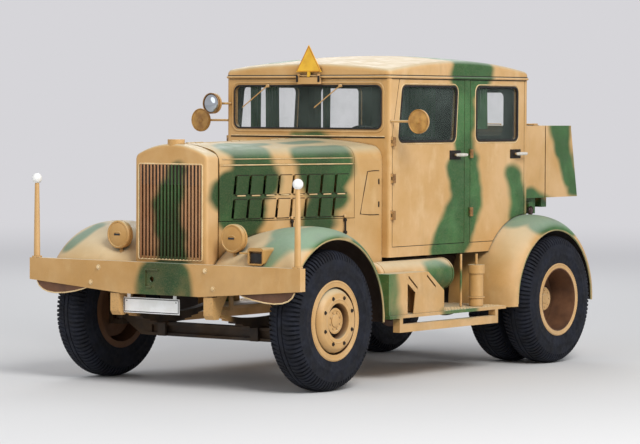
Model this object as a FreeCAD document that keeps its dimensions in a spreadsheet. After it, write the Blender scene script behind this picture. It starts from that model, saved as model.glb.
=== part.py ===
"""Heavy two-axle road tractor with a four-door crew cab, built as separate pieces.

Millimetres, +Z up, the front looks along -Y and the driver sits on the +X side.
Every piece is drawn from the front axle's centre line (Y = 0) and the floor (Z = 0).
Its Placement then moves it so that the origin is under the middle of the vehicle's length.
"""
import FreeCAD, Part
import math
import os
import re
import Sketcher

# Driving sizes, in millimetres, degrees or counts
SIZES = {
    # Stance and clearances
    "wheelbase": 3060,
    "front_reach": 611,
    "rear_reach": 3900,
    "seat_gap": 0.3,
    "running": 6,
    "play": 0.05,
    "overrun": 20,
    # Tyres and wheels
    "tyre_radius": 505,
    "tyre_width": 265,
    "tyre_shoulder": 82,
    "rim_seat": 254,
    "rim_wall": 12,
    "flange_radius": 289,
    "flange_reach": 121,
    "flange_thickness": 12,
    "front_wheel_x": 985,
    "front_disc_x": 62,
    "front_disc_thickness": 14,
    "front_hub_radius": 92,
    "front_hub_reach": 118,
    "front_drum_radius": 205,
    "front_drum_width": 60,
    "rear_outer_x": 965,
    "rear_inner_x": 645,
    "rear_disc_thickness": 16,
    "wheel_holes": 8,
    "front_hole_circle": 168,
    "front_hole_radius": 17,
    "rear_hole_circle": 172,
    "rear_hole_radius": 26,
    "rear_disc_inset": 10,
    "rear_hub_radius": 105,
    "rear_cap_radius": 62,
    "rear_cap_reach": 50,
    "rear_drum_radius": 215,
    "rear_drum_x": 530,
    "rear_drum_width": 130,
    # Front axle, knuckles and steering
    "kingpin_x": 865,
    "kingpin_radius": 22,
    "boss_radius": 45,
    "boss_low": 440,
    "boss_high": 570,
    "beam_low": 330,
    "beam_depth": 100,
    "beam_thickness": 90,
    "beam_web": 22,
    "beam_drop_x": 600,
    "ear_thickness": 36,
    "knuckle_plate": 26,
    "knuckle_width": 120,
    "stub_radius": 35,
    "stub_reach": 1066,
    "arm_length": 170,
    "arm_width": 34,
    "arm_thickness": 24,
    "tie_rod_radius": 14,
    "lateral_arm_length": 285,
    "drag_radius": 12,
    "drop_arm_length": 240,
    "drop_arm_width": 36,
    "drop_arm_thickness": 20,
    "drop_boss_radius": 30,
    "drop_shaft_radius": 16,
    "drop_y": 640,
    "steering_box_width": 84,
    "steering_box_length": 180,
    "steering_box_height": 94,
    # Rear axle and drive
    "axle_tube_radius": 62,
    "axle_tube_reach": 505,
    "spindle_radius": 45,
    "spindle_reach": 900,
    "differential_radius": 175,
    "nose_radius": 80,
    "nose_reach": 260,
    "shaft_radius": 38,
    # Frame
    "rail_x": 430,
    "rail_width": 60,
    "rail_height": 160,
    "rail_low": 700,
    "rail_wall": 8,
    "rail_inset": 200,
    "cross_radius": 30,
    "end_beam_depth": 70,
    # Springs
    "front_spring_x": 430,
    "spring_width": 70,
    "leaf_thickness": 12,
    "front_spring_half": 555,
    "front_spring_rise": 62,
    "rear_spring_x": 415,
    "rear_spring_half": 640,
    "rear_spring_rise": 18,
    "spring_eye_radius": 22,
    "front_leaves": 6,
    "rear_leaves": 7,
    "hanger_thickness": 12,
    "hanger_width": 70,
    # Bumper, poles and plate
    "bumper_half": 1245,
    "bumper_depth": 60,
    "bumper_wall": 8,
    "bumper_top": 905,
    "bumper_low": 675,
    "bumper_end_low": 745,
    "bumper_flat_half": 360,
    "crank_x": -80,
    "crank_z": 786,
    "crank_radius": 20,
    "crank_guard_half": 62,
    "crank_guard_wall": 10,
    "pole_inset": 45,
    "pole_y": -580,
    "pole_radius": 13,
    "pole_top": 1490,
    "pole_ball": 32,
    "plate_left": 130,
    "plate_right": -387,
    "plate_low": 533,
    "plate_high": 645,
    "plate_thickness": 4,
    "plate_y": -555,
    "plate_strap": 30,
    "tow_pin_radius": 16,
    "tow_jaw_width": 110,
    "tow_jaw_reach": 95,
    "tow_jaw_gap": 56,
    "tow_jaw_wall": 22,
    # Radiator and hood
    "radiator_half": 332,
    "radiator_front": -497,
    "radiator_back": -367,
    "radiator_top": 1757,
    "radiator_shoulder": 1640,
    "radiator_arch": 700,
    "radiator_corner": 54,
    "radiator_edge": 26,
    "radiator_wall": 8,
    "grille_half": 287,
    "grille_low": 946,
    "grille_high": 1465,
    "grille_bars": 18,
    "grille_bar_width": 17,
    "grille_bar_depth": 16,
    "core_depth": 60,
    "cap_radius": 62,
    "cap_height": 32,
    "hood_front_half": 342,
    "hood_back_half": 640,
    "hood_back": 880,
    "hood_low": 1205,
    "hood_front_top": 1757,
    "hood_back_top": 1780,
    "hood_wall": 7,
    "hood_edge_radius": 105,
    "hood_front_arch": 900,
    "hood_back_arch": 3600,
    "scuttle_arch": 4000,
    "louvre_height": 136,
    "louvre_gap": 18,
    "louvre_lean": 18,
    "louvre_rise": 13,
    "louvre_sheet": 3,
    "louvre_front": -228,
    "louvre_back": 826,
    "louvre_top": 1528,
    "louvre_columns": 8,
    "moulding_height": 10,
    "moulding_rise": 5,
    "moulding_z": 1600,
    "hood_seam": 5,
    "hood_hinge_radius": 8,
    "hood_hinge_wall": 4,
    "hood_barrel_length": 90,
    # Scuttle
    "scuttle_back_half": 703,
    "scuttle_top": 1787,
    # Cab
    "cab_half": 770,
    "cab_front": 1150,
    "cab_back": 3087,
    "cab_low": 900,
    "cab_top": 2250,
    "cab_wall": 36,
    "cab_corner": 26,
    "roof_rise": 178,
    "roof_overhang": 8,
    "roof_corner": 50,
    "roof_edge_radius": 38,
    "roof_wall": 24,
    "floor_thickness": 24,
    "floor_high": 935,
    "door_gap": 5,
    "front_door_front": 1192,
    "front_door_back": 2165,
    "rear_door_front": 2250,
    "rear_door_back": 3030,
    "door_low": 980,
    "door_high": 2235,
    "door_belt": 1845,
    "door_lean": 89,
    "door_skin": 36,
    "window_low": 1767,
    "window_high": 2185,
    "front_window_front": 1266,
    "front_window_back": 2030,
    "window_lean": 55,
    "rear_window_front": 2334,
    "rear_window_back": 2930,
    "window_corner": 45,
    "glass_thickness": 6,
    "windscreen_half": 690,
    "windscreen_low": 1865,
    "windscreen_high": 2185,
    "back_window_inner": 120,
    "back_window_outer": 560,
    "back_window_low": 1800,
    "back_window_high": 2150,
    "hinge_x": 782,
    "hinge_radius": 10,
    "hinge_height": 70,
    "handle_z": 1660,
    "handle_length": 120,
    "handle_radius": 8,
    "handle_reach": 45,
    # Fenders
    "front_lip_radius": 585,
    "front_lip_x": 1120,
    "front_crown_radius": 667,
    "front_crown_x": 880,
    "fender_wall": 6,
    "front_inner_radius": 560,
    "rear_inner_radius": 640,
    "rear_lip_radius": 552,
    "rear_lip_x": 1056,
    "rear_crown_radius": 668,
    "rear_crown_x": 800,
    "fender_notch_x": 648,
    "fender_notch_front": 255,
    "fender_notch_back": 1020,
    "fender_notch_high": 972,
    "front_fender_start_angle": 16,
    "front_fender_sweep_angle": 168,
    "rear_fender_start_angle": -3,
    "rear_fender_sweep_angle": 186,
    # Lamps, mirrors and sign
    "headlamp_x": 527,
    "headlamp_y": -450,
    "headlamp_z": 1090,
    "headlamp_radius": 100,
    "headlamp_depth": 120,
    "stalk_radius": 14,
    "stalk_length": 160,
    "blackout_left": 876,
    "blackout_right": 738,
    "blackout_low": 912,
    "blackout_high": 1035,
    "blackout_depth": 150,
    "blackout_y": -548,
    "blackout_corner": 24,
    "blackout_wall": 12,
    "blackout_arm": 90,
    "search_x": -835,
    "search_y": 1035,
    "search_z": 2050,
    "search_radius": 80,
    "search_depth": 95,
    "search_arm": 105,
    "mirror_x": 1030,
    "mirror_z": 1920,
    "mirror_radius": 90,
    "mirror_depth": 14,
    "mirror_arm_radius": 9,
    "sign_right": -75,
    "sign_left": 161,
    "sign_low": 2290,
    "sign_high": 2495,
    "sign_thickness": 8,
    "sign_y": 1104,
    "sign_pivot_z": 2262,
    "sign_inset": 20,
    "sign_ear": 26,
    "sign_ear_high": 2276,
    "sign_bracket_low": 2199,
    "wiper_radius": 4,
    "wiper_right_x": 363,
    "wiper_left_x": 324,
    "wiper_z": 2186,
    "wiper_blade": 240,
    "wiper_drop": 165,
    "wiper_reach": 22,
    # Side gear
    "board_x": 1050,
    "board_inner": 560,
    "board_front": 760,
    "board_stop": 720,
    "board_low": 470,
    "board_thickness": 24,
    "step_low": 365,
    "step_thickness": 58,
    "step_width": 60,
    "step_front": 890,
    "step_stop": 834,
    "tank_x": 770,
    "tank_z": 756,
    "tank_radius": 118,
    "tank_edge": 34,
    "tank_band": 4,
    "tank_front": 900,
    "tank_stop": 1180,
    "toe_box_front": 762,
    "toe_box_back": 1490,
    "toe_box_x": 1040,
    "toe_box_depth": 138,
    "toe_box_bend": 1276,
    "toe_box_post": 1004,
    "toe_box_slope": 150,
    "toe_box_wall": 6,
    "toe_box_high": 800,
    "toe_box_ledge": 652,
    "jack_x": 930,
    "jack_stop": 960,
    "jack_high": 815,
    "jack_radius": 55,
    "jack_cap": 66,
    "jack_band": 10,
    # Interior
    "seat_low": 1205,
    "seat_cushion": 120,
    "front_seat_front": 1680,
    "front_seat_back": 2130,
    "rear_seat_front": 2450,
    "rear_seat_back": 2930,
    "backrest_thickness": 110,
    "backrest_high": 1760,
    "seat_inset": 74,
    "dash_depth": 120,
    "dash_low": 1560,
    "dash_high": 1760,
    "steer_wheel_x": 400,
    "steer_wheel_y": 1500,
    "steer_wheel_z": 1722,
    "steer_wheel_radius": 230,
    "steer_wheel_tube": 14,
    "column_radius": 24,
    "column_tilt": 42,
    # Engine and drive masses
    "engine_half": 210,
    "engine_front": -240,
    "engine_back": 660,
    "engine_low": 760,
    "engine_high": 1480,
    "gearbox_half": 170,
    "gearbox_back": 1140,
    "gearbox_low": 640,
    "gearbox_high": 880,
    "exhaust_radius": 72,
    "exhaust_x": -590,
    "exhaust_z": 630,
    "exhaust_front": 1250,
    "exhaust_back": 1850,
    "tailpipe_lead": 120,
    "tailpipe_tail": 280,
    "exhaust_strap": 30,
    # Locker
    "locker_half": 740,
    "locker_front": 3092,
    "locker_gap": 14,
    "locker_slant": 100,
    "locker_low": 1300,
    "locker_high": 1880,
    "locker_wall": 8,
    "locker_lid": 30,
    "lid_hinge_radius": 9,
    "lid_hinge_length": 90,
    "support_low": 1172,
    "support_width": 80,
    "lamp_plate_front": 3144,
    "lamp_plate_back": 3343,
    "tail_lamp_radius": 34,
}

document = FreeCAD.newDocument("CrewCabTractor")
sheet = document.addObject("Spreadsheet::Sheet", "Sizes")
for row, (word, amount) in enumerate(SIZES.items(), start=1):
    sheet.set(f"A{row}", word)
    sheet.set(f"B{row}", str(amount))
    sheet.setAlias(f"B{row}", word)
document.recompute()

FINISHED = []
TURN_TO = {
    "X": FreeCAD.Rotation(FreeCAD.Vector(0, 1, 0), 90),
    "Y": FreeCAD.Rotation(FreeCAD.Vector(1, 0, 0), -90),
    "Z": FreeCAD.Rotation(),
}
SKETCH_TURN = {
    "YZ": FreeCAD.Rotation(FreeCAD.Vector(0, 1, 0), FreeCAD.Vector(0, 0, 1), FreeCAD.Vector(1, 0, 0)),
    "XZ": FreeCAD.Rotation(FreeCAD.Vector(1, 0, 0), FreeCAD.Vector(0, 0, 1), FreeCAD.Vector(0, -1, 0)),
    "XY": FreeCAD.Rotation(),
}


def size(word):
    """Read one driving size from the sheet."""
    return float(sheet.get(word))


def cells(text):
    """Turn plain size names in a formula into references to the sheet."""
    return re.sub(r"[a-z][a-z_]+", lambda found: "Sizes." + found.group() if found.group() in SIZES
                  else found.group(), text)


def bind(item, **formulas):
    """Bind properties to formulas; a double underscore in a name is a dot."""
    for name, text in formulas.items():
        item.setExpression(name.replace("__", "."), cells(text))
    return item


def place(item, x="0", y="0", z="0"):
    return bind(item, Placement__Base__x=x, Placement__Base__y=y, Placement__Base__z=z)


def box(x, y, z, length, width, height):
    """A block from its low corner."""
    item = document.addObject("Part::Box", "block")
    bind(item, Length=length, Width=width, Height=height)
    return place(item, x, y, z)


def rod(axis, x, y, z, radius, length):
    """A round bar that starts at a point and runs along an axis."""
    item = document.addObject("Part::Cylinder", "rod")
    item.Placement = FreeCAD.Placement(FreeCAD.Vector(), TURN_TO[axis])
    bind(item, Radius=radius, Height=length)
    return place(item, x, y, z)


def cone(axis, x, y, z, first, last, length):
    item = document.addObject("Part::Cone", "cone")
    item.Placement = FreeCAD.Placement(FreeCAD.Vector(), TURN_TO[axis])
    bind(item, Radius1=first, Radius2=last, Height=length)
    return place(item, x, y, z)


def ball(x, y, z, radius):
    item = document.addObject("Part::Sphere", "ball")
    bind(item, Radius=radius)
    return place(item, x, y, z)


def outline(plane, points):
    """A closed sketch through points, each held by its two distances from the sketch origin."""
    sketch = document.addObject("Sketcher::SketchObject", "outline")
    sketch.Placement = FreeCAD.Placement(FreeCAD.Vector(), SKETCH_TURN[plane])
    count = len(points)
    spots = [FreeCAD.Vector(math.cos(2 * math.pi * n / count), math.sin(2 * math.pi * n / count), 0)
             for n in range(count)]
    for n in range(count):
        sketch.addGeometry(Part.LineSegment(spots[n], spots[(n + 1) % count]))
    for n in range(count):
        sketch.addConstraint(Sketcher.Constraint("Coincident", n, 2, (n + 1) % count, 1))
    for n, (across, up) in enumerate(points):
        for kind, text, spot in (("DistanceX", across, spots[n].x), ("DistanceY", up, spots[n].y)):
            index = sketch.addConstraint(Sketcher.Constraint(kind, -1, 1, n, 1, spot))
            sketch.setExpression(f"Constraints[{index}]", cells(text))
    return sketch


def prism(plane, points, start, length):
    """An outline drawn on a plane and extruded along the third axis from start."""
    sketch = outline(plane, points)
    item = document.addObject("Part::Extrusion", "prism")
    item.Base = sketch
    item.DirMode = "Normal"
    item.Solid = True
    item.Reversed = plane == "XZ"
    bind(item, LengthFwd=length)
    third = {"YZ": "x", "XZ": "y", "XY": "z"}[plane]
    bind(sketch, **{"Placement__Base__" + third: start})
    return item


def turned(points, x="0", y="0", z="0"):
    """A profile of (x, radius) points turned about a line along X."""
    item = document.addObject("Part::Revolution", "turned")
    item.Source = outline("XZ", points)
    item.Axis = FreeCAD.Vector(1, 0, 0)
    item.Angle = 360
    item.Solid = True
    return place(item, x, y, z)


def joined(*items):
    item = document.addObject("Part::MultiFuse", "joined")
    item.Shapes = list(items)
    return item


def grouped(*items):
    """Solids that share a node without touching."""
    item = document.addObject("Part::Compound", "grouped")
    item.Links = list(items)
    return item


def cut(base, *tools):
    item = document.addObject("Part::Cut", "cut")
    item.Base = base
    item.Tool = tools[0] if len(tools) == 1 else joined(*tools)
    return item


def common(first, second):
    item = document.addObject("Part::Common", "common")
    item.Base = first
    item.Tool = second
    return item


def mirrored(item):
    """The same piece on the other side of the vehicle's middle plane."""
    twin = document.addObject("Part::Mirroring", "twin")
    twin.Source = item
    twin.Normal = FreeCAD.Vector(1, 0, 0)
    return twin


def pair(item):
    return grouped(item, mirrored(item))


def rounded(item, word, keep):
    """Round the edges that keep accepts, by the named radius."""
    document.recompute()
    fillet = document.addObject("Part::Fillet", "rounded")
    fillet.Base = item
    radius = size(word)
    fillet.Edges = [(n, radius, radius) for n, edge in enumerate(item.Shape.Edges, start=1) if keep(edge)]
    return fillet


def along(axis):
    """Accepts straight edges that run along one axis."""
    def accepts(edge):
        low, high = edge.BoundBox, edge.BoundBox
        spans = {"X": high.XLength, "Y": high.YLength, "Z": low.ZLength}
        others = [spans[name] for name in spans if name != axis]
        return spans[axis] > 1 and max(others) < 1e-3
    return accepts


def fixed_shape(shape):
    item = document.addObject("Part::Feature", "sheet")
    item.Shape = shape
    return item


def finish(item, label):
    """Name a finished sub-part and set it in the vehicle's own frame."""
    item = grouped(item)
    item.Label = label
    bind(item, Placement__Base__y="(front_reach - rear_reach) / 2")
    FINISHED.append(item)


# Places worked out from the driving sizes
RAIL_OUTER = "(rail_x + rail_width / 2)"
RAIL_INNER = "(rail_x - rail_width / 2)"
RAIL_HIGH = "(rail_low + rail_height)"
RAIL_REAR = "(rear_reach - rail_inset)"
BUMPER_BACK = "(bumper_depth - front_reach)"
AXLE_Z = "tyre_radius"

# Where the frame's tubular cross-members stand, as shares of the wheelbase
CROSS_SHARES = (0.41, 0.57, 0.79)

# Where the hood's hinge barrels start, and how much of a louvre's width is open behind
HOOD_HINGE_SHARES = (0.04, 0.46, 0.84)
LOUVRE_OPEN_SHARE = 0.62
# Small parts as shares of the size that they follow
DISC_HOLE_SHARE = 0.9
HANGER_AHEAD_SHARE = 0.7
EYE_DROP_SHARE = 0.6
BEAM_END_SHARE = 0.8
TIE_PIN_SHARE = 1.5
TIE_LOW_SHARE = 1.4
DRAG_PIN_SHARE = 2.4
DRAG_DEPTH_SHARE = 1.2
LINK_EYE_SHARE = 0.6
DROP_EYE_SHARE = 0.45
NOSE_FLARE_SHARE = 1.5
SHAFT_FLARE_SHARE = 1.6
GUARD_DEPTH_SHARE = 1.5
CAP_DEPTH_SHARE = 1.5
PANE_LEAN_SHARE = 0.6
HINGE_LEAF_SHARE = 1.5
HANDLE_BACK_SHARE = 1.3
WHEEL_HUB_SHARE = 0.8
SPOKE_SHARE = 0.7
SPOKES = 3
DOME_SHARE = 0.7
HEADLAMP_DRUM_SHARE = 0.4
HEADLAMP_TAIL_SHARE = 0.35
HEADLAMP_STALK_SHARE = 0.3
SEARCH_DRUM_SHARE = 0.35
SEARCH_TAIL_SHARE = 0.4
KNOB_SHARE = 1.6
SLOT_RUN_SHARE = 0.8
SLOT_DROP_SHARE = 0.6
LEDGE_SHARE = 0.7
LEVER_PLACE_SHARE = 2.4
LEVER_RADIUS_SHARE = 0.9
BEARER_SHARE = 0.9
REAR_POST_SHARE = 0.605
TAIL_LAMP_SHARE = 1.2


def tyre(centre):
    """A plain tyre with round shoulders, bored for its rim and stepped for the flanges."""
    body = rod("X", f"{centre} - tyre_width / 2", "0", "0", "tyre_radius", "tyre_width")
    soft = rounded(body, "tyre_shoulder", lambda edge: abs(edge.Length - 2 * math.pi
                   * size("tyre_radius")) < 1 and edge.BoundBox.XLength < 1)
    bore = rod("X", f"{centre} - tyre_width", "0", "0", "rim_seat + seat_gap", "tyre_width * 2")
    seat = "flange_reach - flange_thickness - seat_gap"
    outer = rod("X", f"{centre} + {seat}", "0", "0", "flange_radius + seat_gap", "tyre_width")
    inner = rod("X", f"{centre} - tyre_width - ({seat})", "0", "0", "flange_radius + seat_gap", "tyre_width")
    return cut(soft, bore, outer, inner)


def rim(centre, disc, thickness, hole):
    """A drop-free rim with its flanges and one disc, turned from half its section."""
    wall = "rim_seat - rim_wall"
    return turned([
        (f"{centre} - flange_reach", "flange_radius"),
        (f"{centre} - flange_reach + flange_thickness", "flange_radius"),
        (f"{centre} - flange_reach + flange_thickness", "rim_seat"),
        (f"{centre} + flange_reach - flange_thickness", "rim_seat"),
        (f"{centre} + flange_reach - flange_thickness", "flange_radius"),
        (f"{centre} + flange_reach", "flange_radius"),
        (f"{centre} + flange_reach", wall),
        (f"{disc} + {thickness}", wall),
        (f"{disc} + {thickness}", hole),
        (disc, hole),
        (disc, wall),
        (f"{centre} - flange_reach", wall),
    ])


PLATE_X = "(kingpin_x + boss_radius + running)"
FRONT_HUB_X = f"({PLATE_X} + knuckle_plate + running)"


def ring_of_holes(x, depth, circle, radius):
    """Drills for the holes of a wheel disc, evenly spread round its axis."""
    count = int(size("wheel_holes"))
    drills = []
    for n in range(count):
        turn = f"({n} + 0.5) * 360 / wheel_holes"
        drills.append(rod("X", f"{x} - overrun", f"{circle} * cos({turn})", f"{circle} * sin({turn})",
                          radius, f"{depth} + overrun * 2"))
    return drills


def front_wheel(side):
    """A front wheel: tyre and disc wheel with its drum and hub."""
    centre = "front_wheel_x"
    body = rim(centre, f"({centre} + front_disc_x)", "front_disc_thickness",
               f"front_hub_radius * {DISC_HOLE_SHARE}")
    hub = rod("X", FRONT_HUB_X, "0", "0", "front_hub_radius", f"{centre} + front_hub_reach - {FRONT_HUB_X}")
    drum = rod("X", FRONT_HUB_X, "0", "0", "front_drum_radius", "front_drum_width")
    bore = rod("X", f"{FRONT_HUB_X} - overrun", "0", "0", "stub_radius + play",
               f"stub_reach + seat_gap - {FRONT_HUB_X} + overrun")
    holes = ring_of_holes(f"{centre} + front_disc_x", "front_disc_thickness", "front_hole_circle",
                          "front_hole_radius")
    solid = cut(joined(cut(body, *holes), hub, drum), bore)
    rubber = tyre(centre)
    for item, word in ((solid, "rim"), (rubber, "tyre")):
        place(item, z=AXLE_Z)
        finish(item if side == "left" else mirrored(item), f"front_{word}_{side}")


def rear_wheel(side):
    """Twin rear wheels that turn as one: two tyres, and two rims on one hub and drum."""
    outer_disc = "(rear_outer_x - flange_reach + rear_disc_inset)"
    inner_disc = "(rear_inner_x + flange_reach - rear_disc_inset - rear_disc_thickness)"
    outer = cut(rim("rear_outer_x", outer_disc, "rear_disc_thickness", f"rear_hub_radius * {DISC_HOLE_SHARE}"),
                *ring_of_holes(outer_disc, "rear_disc_thickness", "rear_hole_circle", "rear_hole_radius"))
    inner = rim("rear_inner_x", inner_disc, "rear_disc_thickness", f"rear_hub_radius * {DISC_HOLE_SHARE}")
    hub = rod("X", "rear_drum_x", "0", "0", "rear_hub_radius",
              f"{outer_disc} + rear_disc_thickness + rear_disc_inset - rear_drum_x")
    drum = rod("X", "rear_drum_x", "0", "0", "rear_drum_radius", "rear_drum_width")
    cap = rod("X", outer_disc, "0", "0", "rear_cap_radius", f"spindle_reach + rear_cap_reach - {outer_disc}")
    bore = rod("X", "rear_drum_x - overrun", "0", "0", "spindle_radius + play",
               "spindle_reach + seat_gap - rear_drum_x + overrun")
    solid = cut(joined(outer, inner, hub, drum, cap), bore)
    tyres = grouped(tyre("rear_outer_x"), tyre("rear_inner_x"))
    for item, word in ((solid, "rims"), (tyres, "tyres")):
        place(item, y="wheelbase", z=AXLE_Z)
        finish(item if side == "left" else mirrored(item), f"rear_{word}_{side}")


def frame():
    """Two channel rails with tubular and box cross-members, cab pads and the rear end beam."""
    start = f"({BUMPER_BACK} + seat_gap)"
    rail = cut(
        box(RAIL_INNER, start, "rail_low", "rail_width", f"{RAIL_REAR} - {start}", "rail_height"),
        box(f"{RAIL_INNER} - overrun", f"{start} - overrun", "rail_low + rail_wall",
            "rail_width - rail_wall + overrun", f"{RAIL_REAR} - {start} + overrun * 2",
            "rail_height - rail_wall * 2"))
    pieces = [rail, mirrored(rail)]
    web = f"({RAIL_OUTER} - rail_wall / 2)"
    for share in CROSS_SHARES:
        pieces.append(rod("X", f"-{web}", f"wheelbase * {share}", f"{RAIL_HIGH} - rail_wall - cross_radius",
                          "cross_radius", f"{web} * 2"))
    for y in ("engine_front + overrun * 3", "engine_back - overrun * 6"):
        pieces.append(box(f"-{web}", y, "rail_low + rail_wall / 2", f"{web} * 2", "end_beam_depth",
                          "engine_low - rail_low - rail_wall / 2 - seat_gap"))
    for y in (start, f"{RAIL_REAR} - end_beam_depth"):
        pieces.append(box(f"-{web}", y, "rail_low", f"{web} * 2", "end_beam_depth", "rail_height"))
    for y in ("cab_front + overrun", "(cab_front + cab_back) / 2", "cab_back - end_beam_depth * 2"):
        pad = box(RAIL_INNER, y, f"{RAIL_HIGH} - rail_wall / 2", "rail_width", "end_beam_depth",
                  f"cab_low - {RAIL_HIGH} - seat_gap + rail_wall / 2")
        pieces += [pad, mirrored(pad)]
    finish(joined(*pieces), "frame")


def leaf_pack(x, y, top, half, rise, leaves, turned_up=True):
    """A pack of leaves as concentric arcs that get shorter downwards, with an eye at each end."""
    thick = size("leaf_thickness")
    width = size("spring_width")
    radius = (half * half + rise * rise) / (2 * rise)
    centre = FreeCAD.Vector(x - width / 2, y, top + radius)
    reach = math.asin(half / radius)

    def spot(distance, angle):
        return centre + FreeCAD.Vector(0, distance * math.sin(angle), -distance * math.cos(angle))

    shape = None
    for n in range(leaves):
        angle = reach * (1 - n / (leaves + 1))
        upper = Part.Arc(spot(radius + n * thick, -angle), spot(radius + n * thick, 0),
                         spot(radius + n * thick, angle)).toShape()
        lower_radius = radius + (n + 1) * thick
        lower = Part.Arc(spot(lower_radius, -angle), spot(lower_radius, 0),
                         spot(lower_radius, angle)).toShape()
        ends = [Part.makeLine(spot(radius + n * thick, a), spot(lower_radius, a)) for a in (-angle, angle)]
        wire = Part.Wire(Part.__sortEdges__([upper, ends[0], lower, ends[1]]))
        leaf = Part.Face(wire).extrude(FreeCAD.Vector(width, 0, 0))
        shape = leaf if shape is None else shape.fuse(leaf)
    for a in (-reach, reach):
        shape = shape.fuse(Part.makeCylinder(size("spring_eye_radius"), width, spot(radius + thick / 2, a),
                                             FreeCAD.Vector(1, 0, 0)))
    return fixed_shape(shape.removeSplitter())


def front_spring():
    top = size("beam_low") + size("beam_depth") + size("leaf_thickness") * size("front_leaves")
    pack = leaf_pack(size("front_spring_x"), 0, top, size("front_spring_half"), size("front_spring_rise"),
                     int(size("front_leaves")))
    eye_z = "(beam_low + beam_depth + leaf_thickness * front_leaves + front_spring_rise - leaf_thickness / 2)"
    front = f"(-front_spring_half - hanger_width * {HANGER_AHEAD_SHARE})"
    horn = prism("YZ", [
        (f"{BUMPER_BACK} + seat_gap * 2", "rail_low - seat_gap"),
        (f"{BUMPER_BACK} + seat_gap * 2", "bumper_low - seat_gap * 2"),
        (front, "bumper_low - seat_gap * 2"),
        (front, f"{eye_z} - spring_eye_radius * {EYE_DROP_SHARE}"),
        (f"{front} + spring_eye_radius", f"{eye_z} - spring_eye_radius * 2"),
        (f"-front_spring_half + spring_eye_radius", f"{eye_z} - spring_eye_radius * 2"),
        (f"-front_spring_half + spring_eye_radius * 2", f"{eye_z} - spring_eye_radius * {EYE_DROP_SHARE}"),
        ("-front_spring_half + hanger_width", f"{eye_z} + spring_eye_radius * 2"),
        ("-front_spring_half + hanger_width * 2", "rail_low - seat_gap"),
    ], "front_spring_x - spring_width / 2 - hanger_thickness / 2", "spring_width + hanger_thickness")
    shackle = box("front_spring_x - spring_width / 2", "front_spring_half - hanger_width / 2",
                  f"{eye_z} - spring_eye_radius * 2", "spring_width", "hanger_width",
                  f"rail_low - seat_gap - {eye_z} + spring_eye_radius * 2")
    pieces = [pack, horn, shackle]
    for y in ("-beam_thickness / 2 - leaf_thickness * 2", "beam_thickness / 2"):
        pieces.append(box("front_spring_x - spring_width / 2", y, "beam_low", "spring_width",
                          "leaf_thickness * 2", "beam_depth + leaf_thickness"))
    return joined(*pieces)


def rear_spring():
    base = size("tyre_radius") + size("axle_tube_radius") + size("leaf_thickness") / 2
    top = base + size("leaf_thickness") * size("rear_leaves")
    pack = leaf_pack(size("rear_spring_x"), size("wheelbase"), top, size("rear_spring_half"),
                     size("rear_spring_rise"), int(size("rear_leaves")))
    eye_z = "(tyre_radius + axle_tube_radius + leaf_thickness * rear_leaves + rear_spring_rise)"
    pieces = [pack]
    for y in ("wheelbase - rear_spring_half", "wheelbase + rear_spring_half"):
        pieces.append(box("rear_spring_x - spring_width / 2", f"{y} - hanger_width / 2",
                          f"{eye_z} - spring_eye_radius * 2", "spring_width", "hanger_width",
                          f"rail_low - seat_gap - {eye_z} + spring_eye_radius * 2"))
    return joined(*pieces)


def leaf_springs():
    front = front_spring()
    rear = rear_spring()
    finish(grouped(front, mirrored(front), rear, mirrored(rear)), "leaf_springs")


def front_axle():
    """A drop-centre I-beam whose ends rise to bored bosses for the kingpins."""
    half_web = "beam_web / 2"
    centre = box("-beam_drop_x", "-beam_thickness / 2", "beam_low", "beam_drop_x * 2", "beam_thickness",
                 "beam_depth")
    pockets = [box("-beam_drop_x - overrun", y, "beam_low + beam_web", "(beam_drop_x + overrun) * 2",
                   f"beam_thickness / 2 - {half_web}", "beam_depth - beam_web * 2")
               for y in (half_web, "-beam_thickness / 2")]
    riser = prism("XZ", [
        ("beam_drop_x - beam_depth / 2", "beam_low"),
        ("beam_drop_x - beam_depth / 2", "beam_low + beam_depth"),
        ("kingpin_x - boss_radius * 2", "boss_high - running"),
        ("kingpin_x", "boss_high - running"),
        ("kingpin_x", "boss_low + running"),
        ("kingpin_x - boss_radius", "boss_low + running"),
        ("beam_drop_x + beam_depth / 2", "beam_low"),
    ], f"-beam_thickness * {BEAM_END_SHARE} / 2", f"beam_thickness * {BEAM_END_SHARE}")
    boss = rod("Z", "kingpin_x", "0", "boss_low", "boss_radius", "boss_high - boss_low")
    bore = rod("Z", "kingpin_x", "0", "boss_low - overrun", "kingpin_radius + play",
               "boss_high - boss_low + overrun * 2")
    end = cut(joined(riser, boss), bore)
    return joined(cut(centre, *pockets), end, mirrored(end))


EAR_LOW = "(boss_low - running - ear_thickness)"
EAR_HIGH = "(boss_high + running + ear_thickness)"


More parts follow.
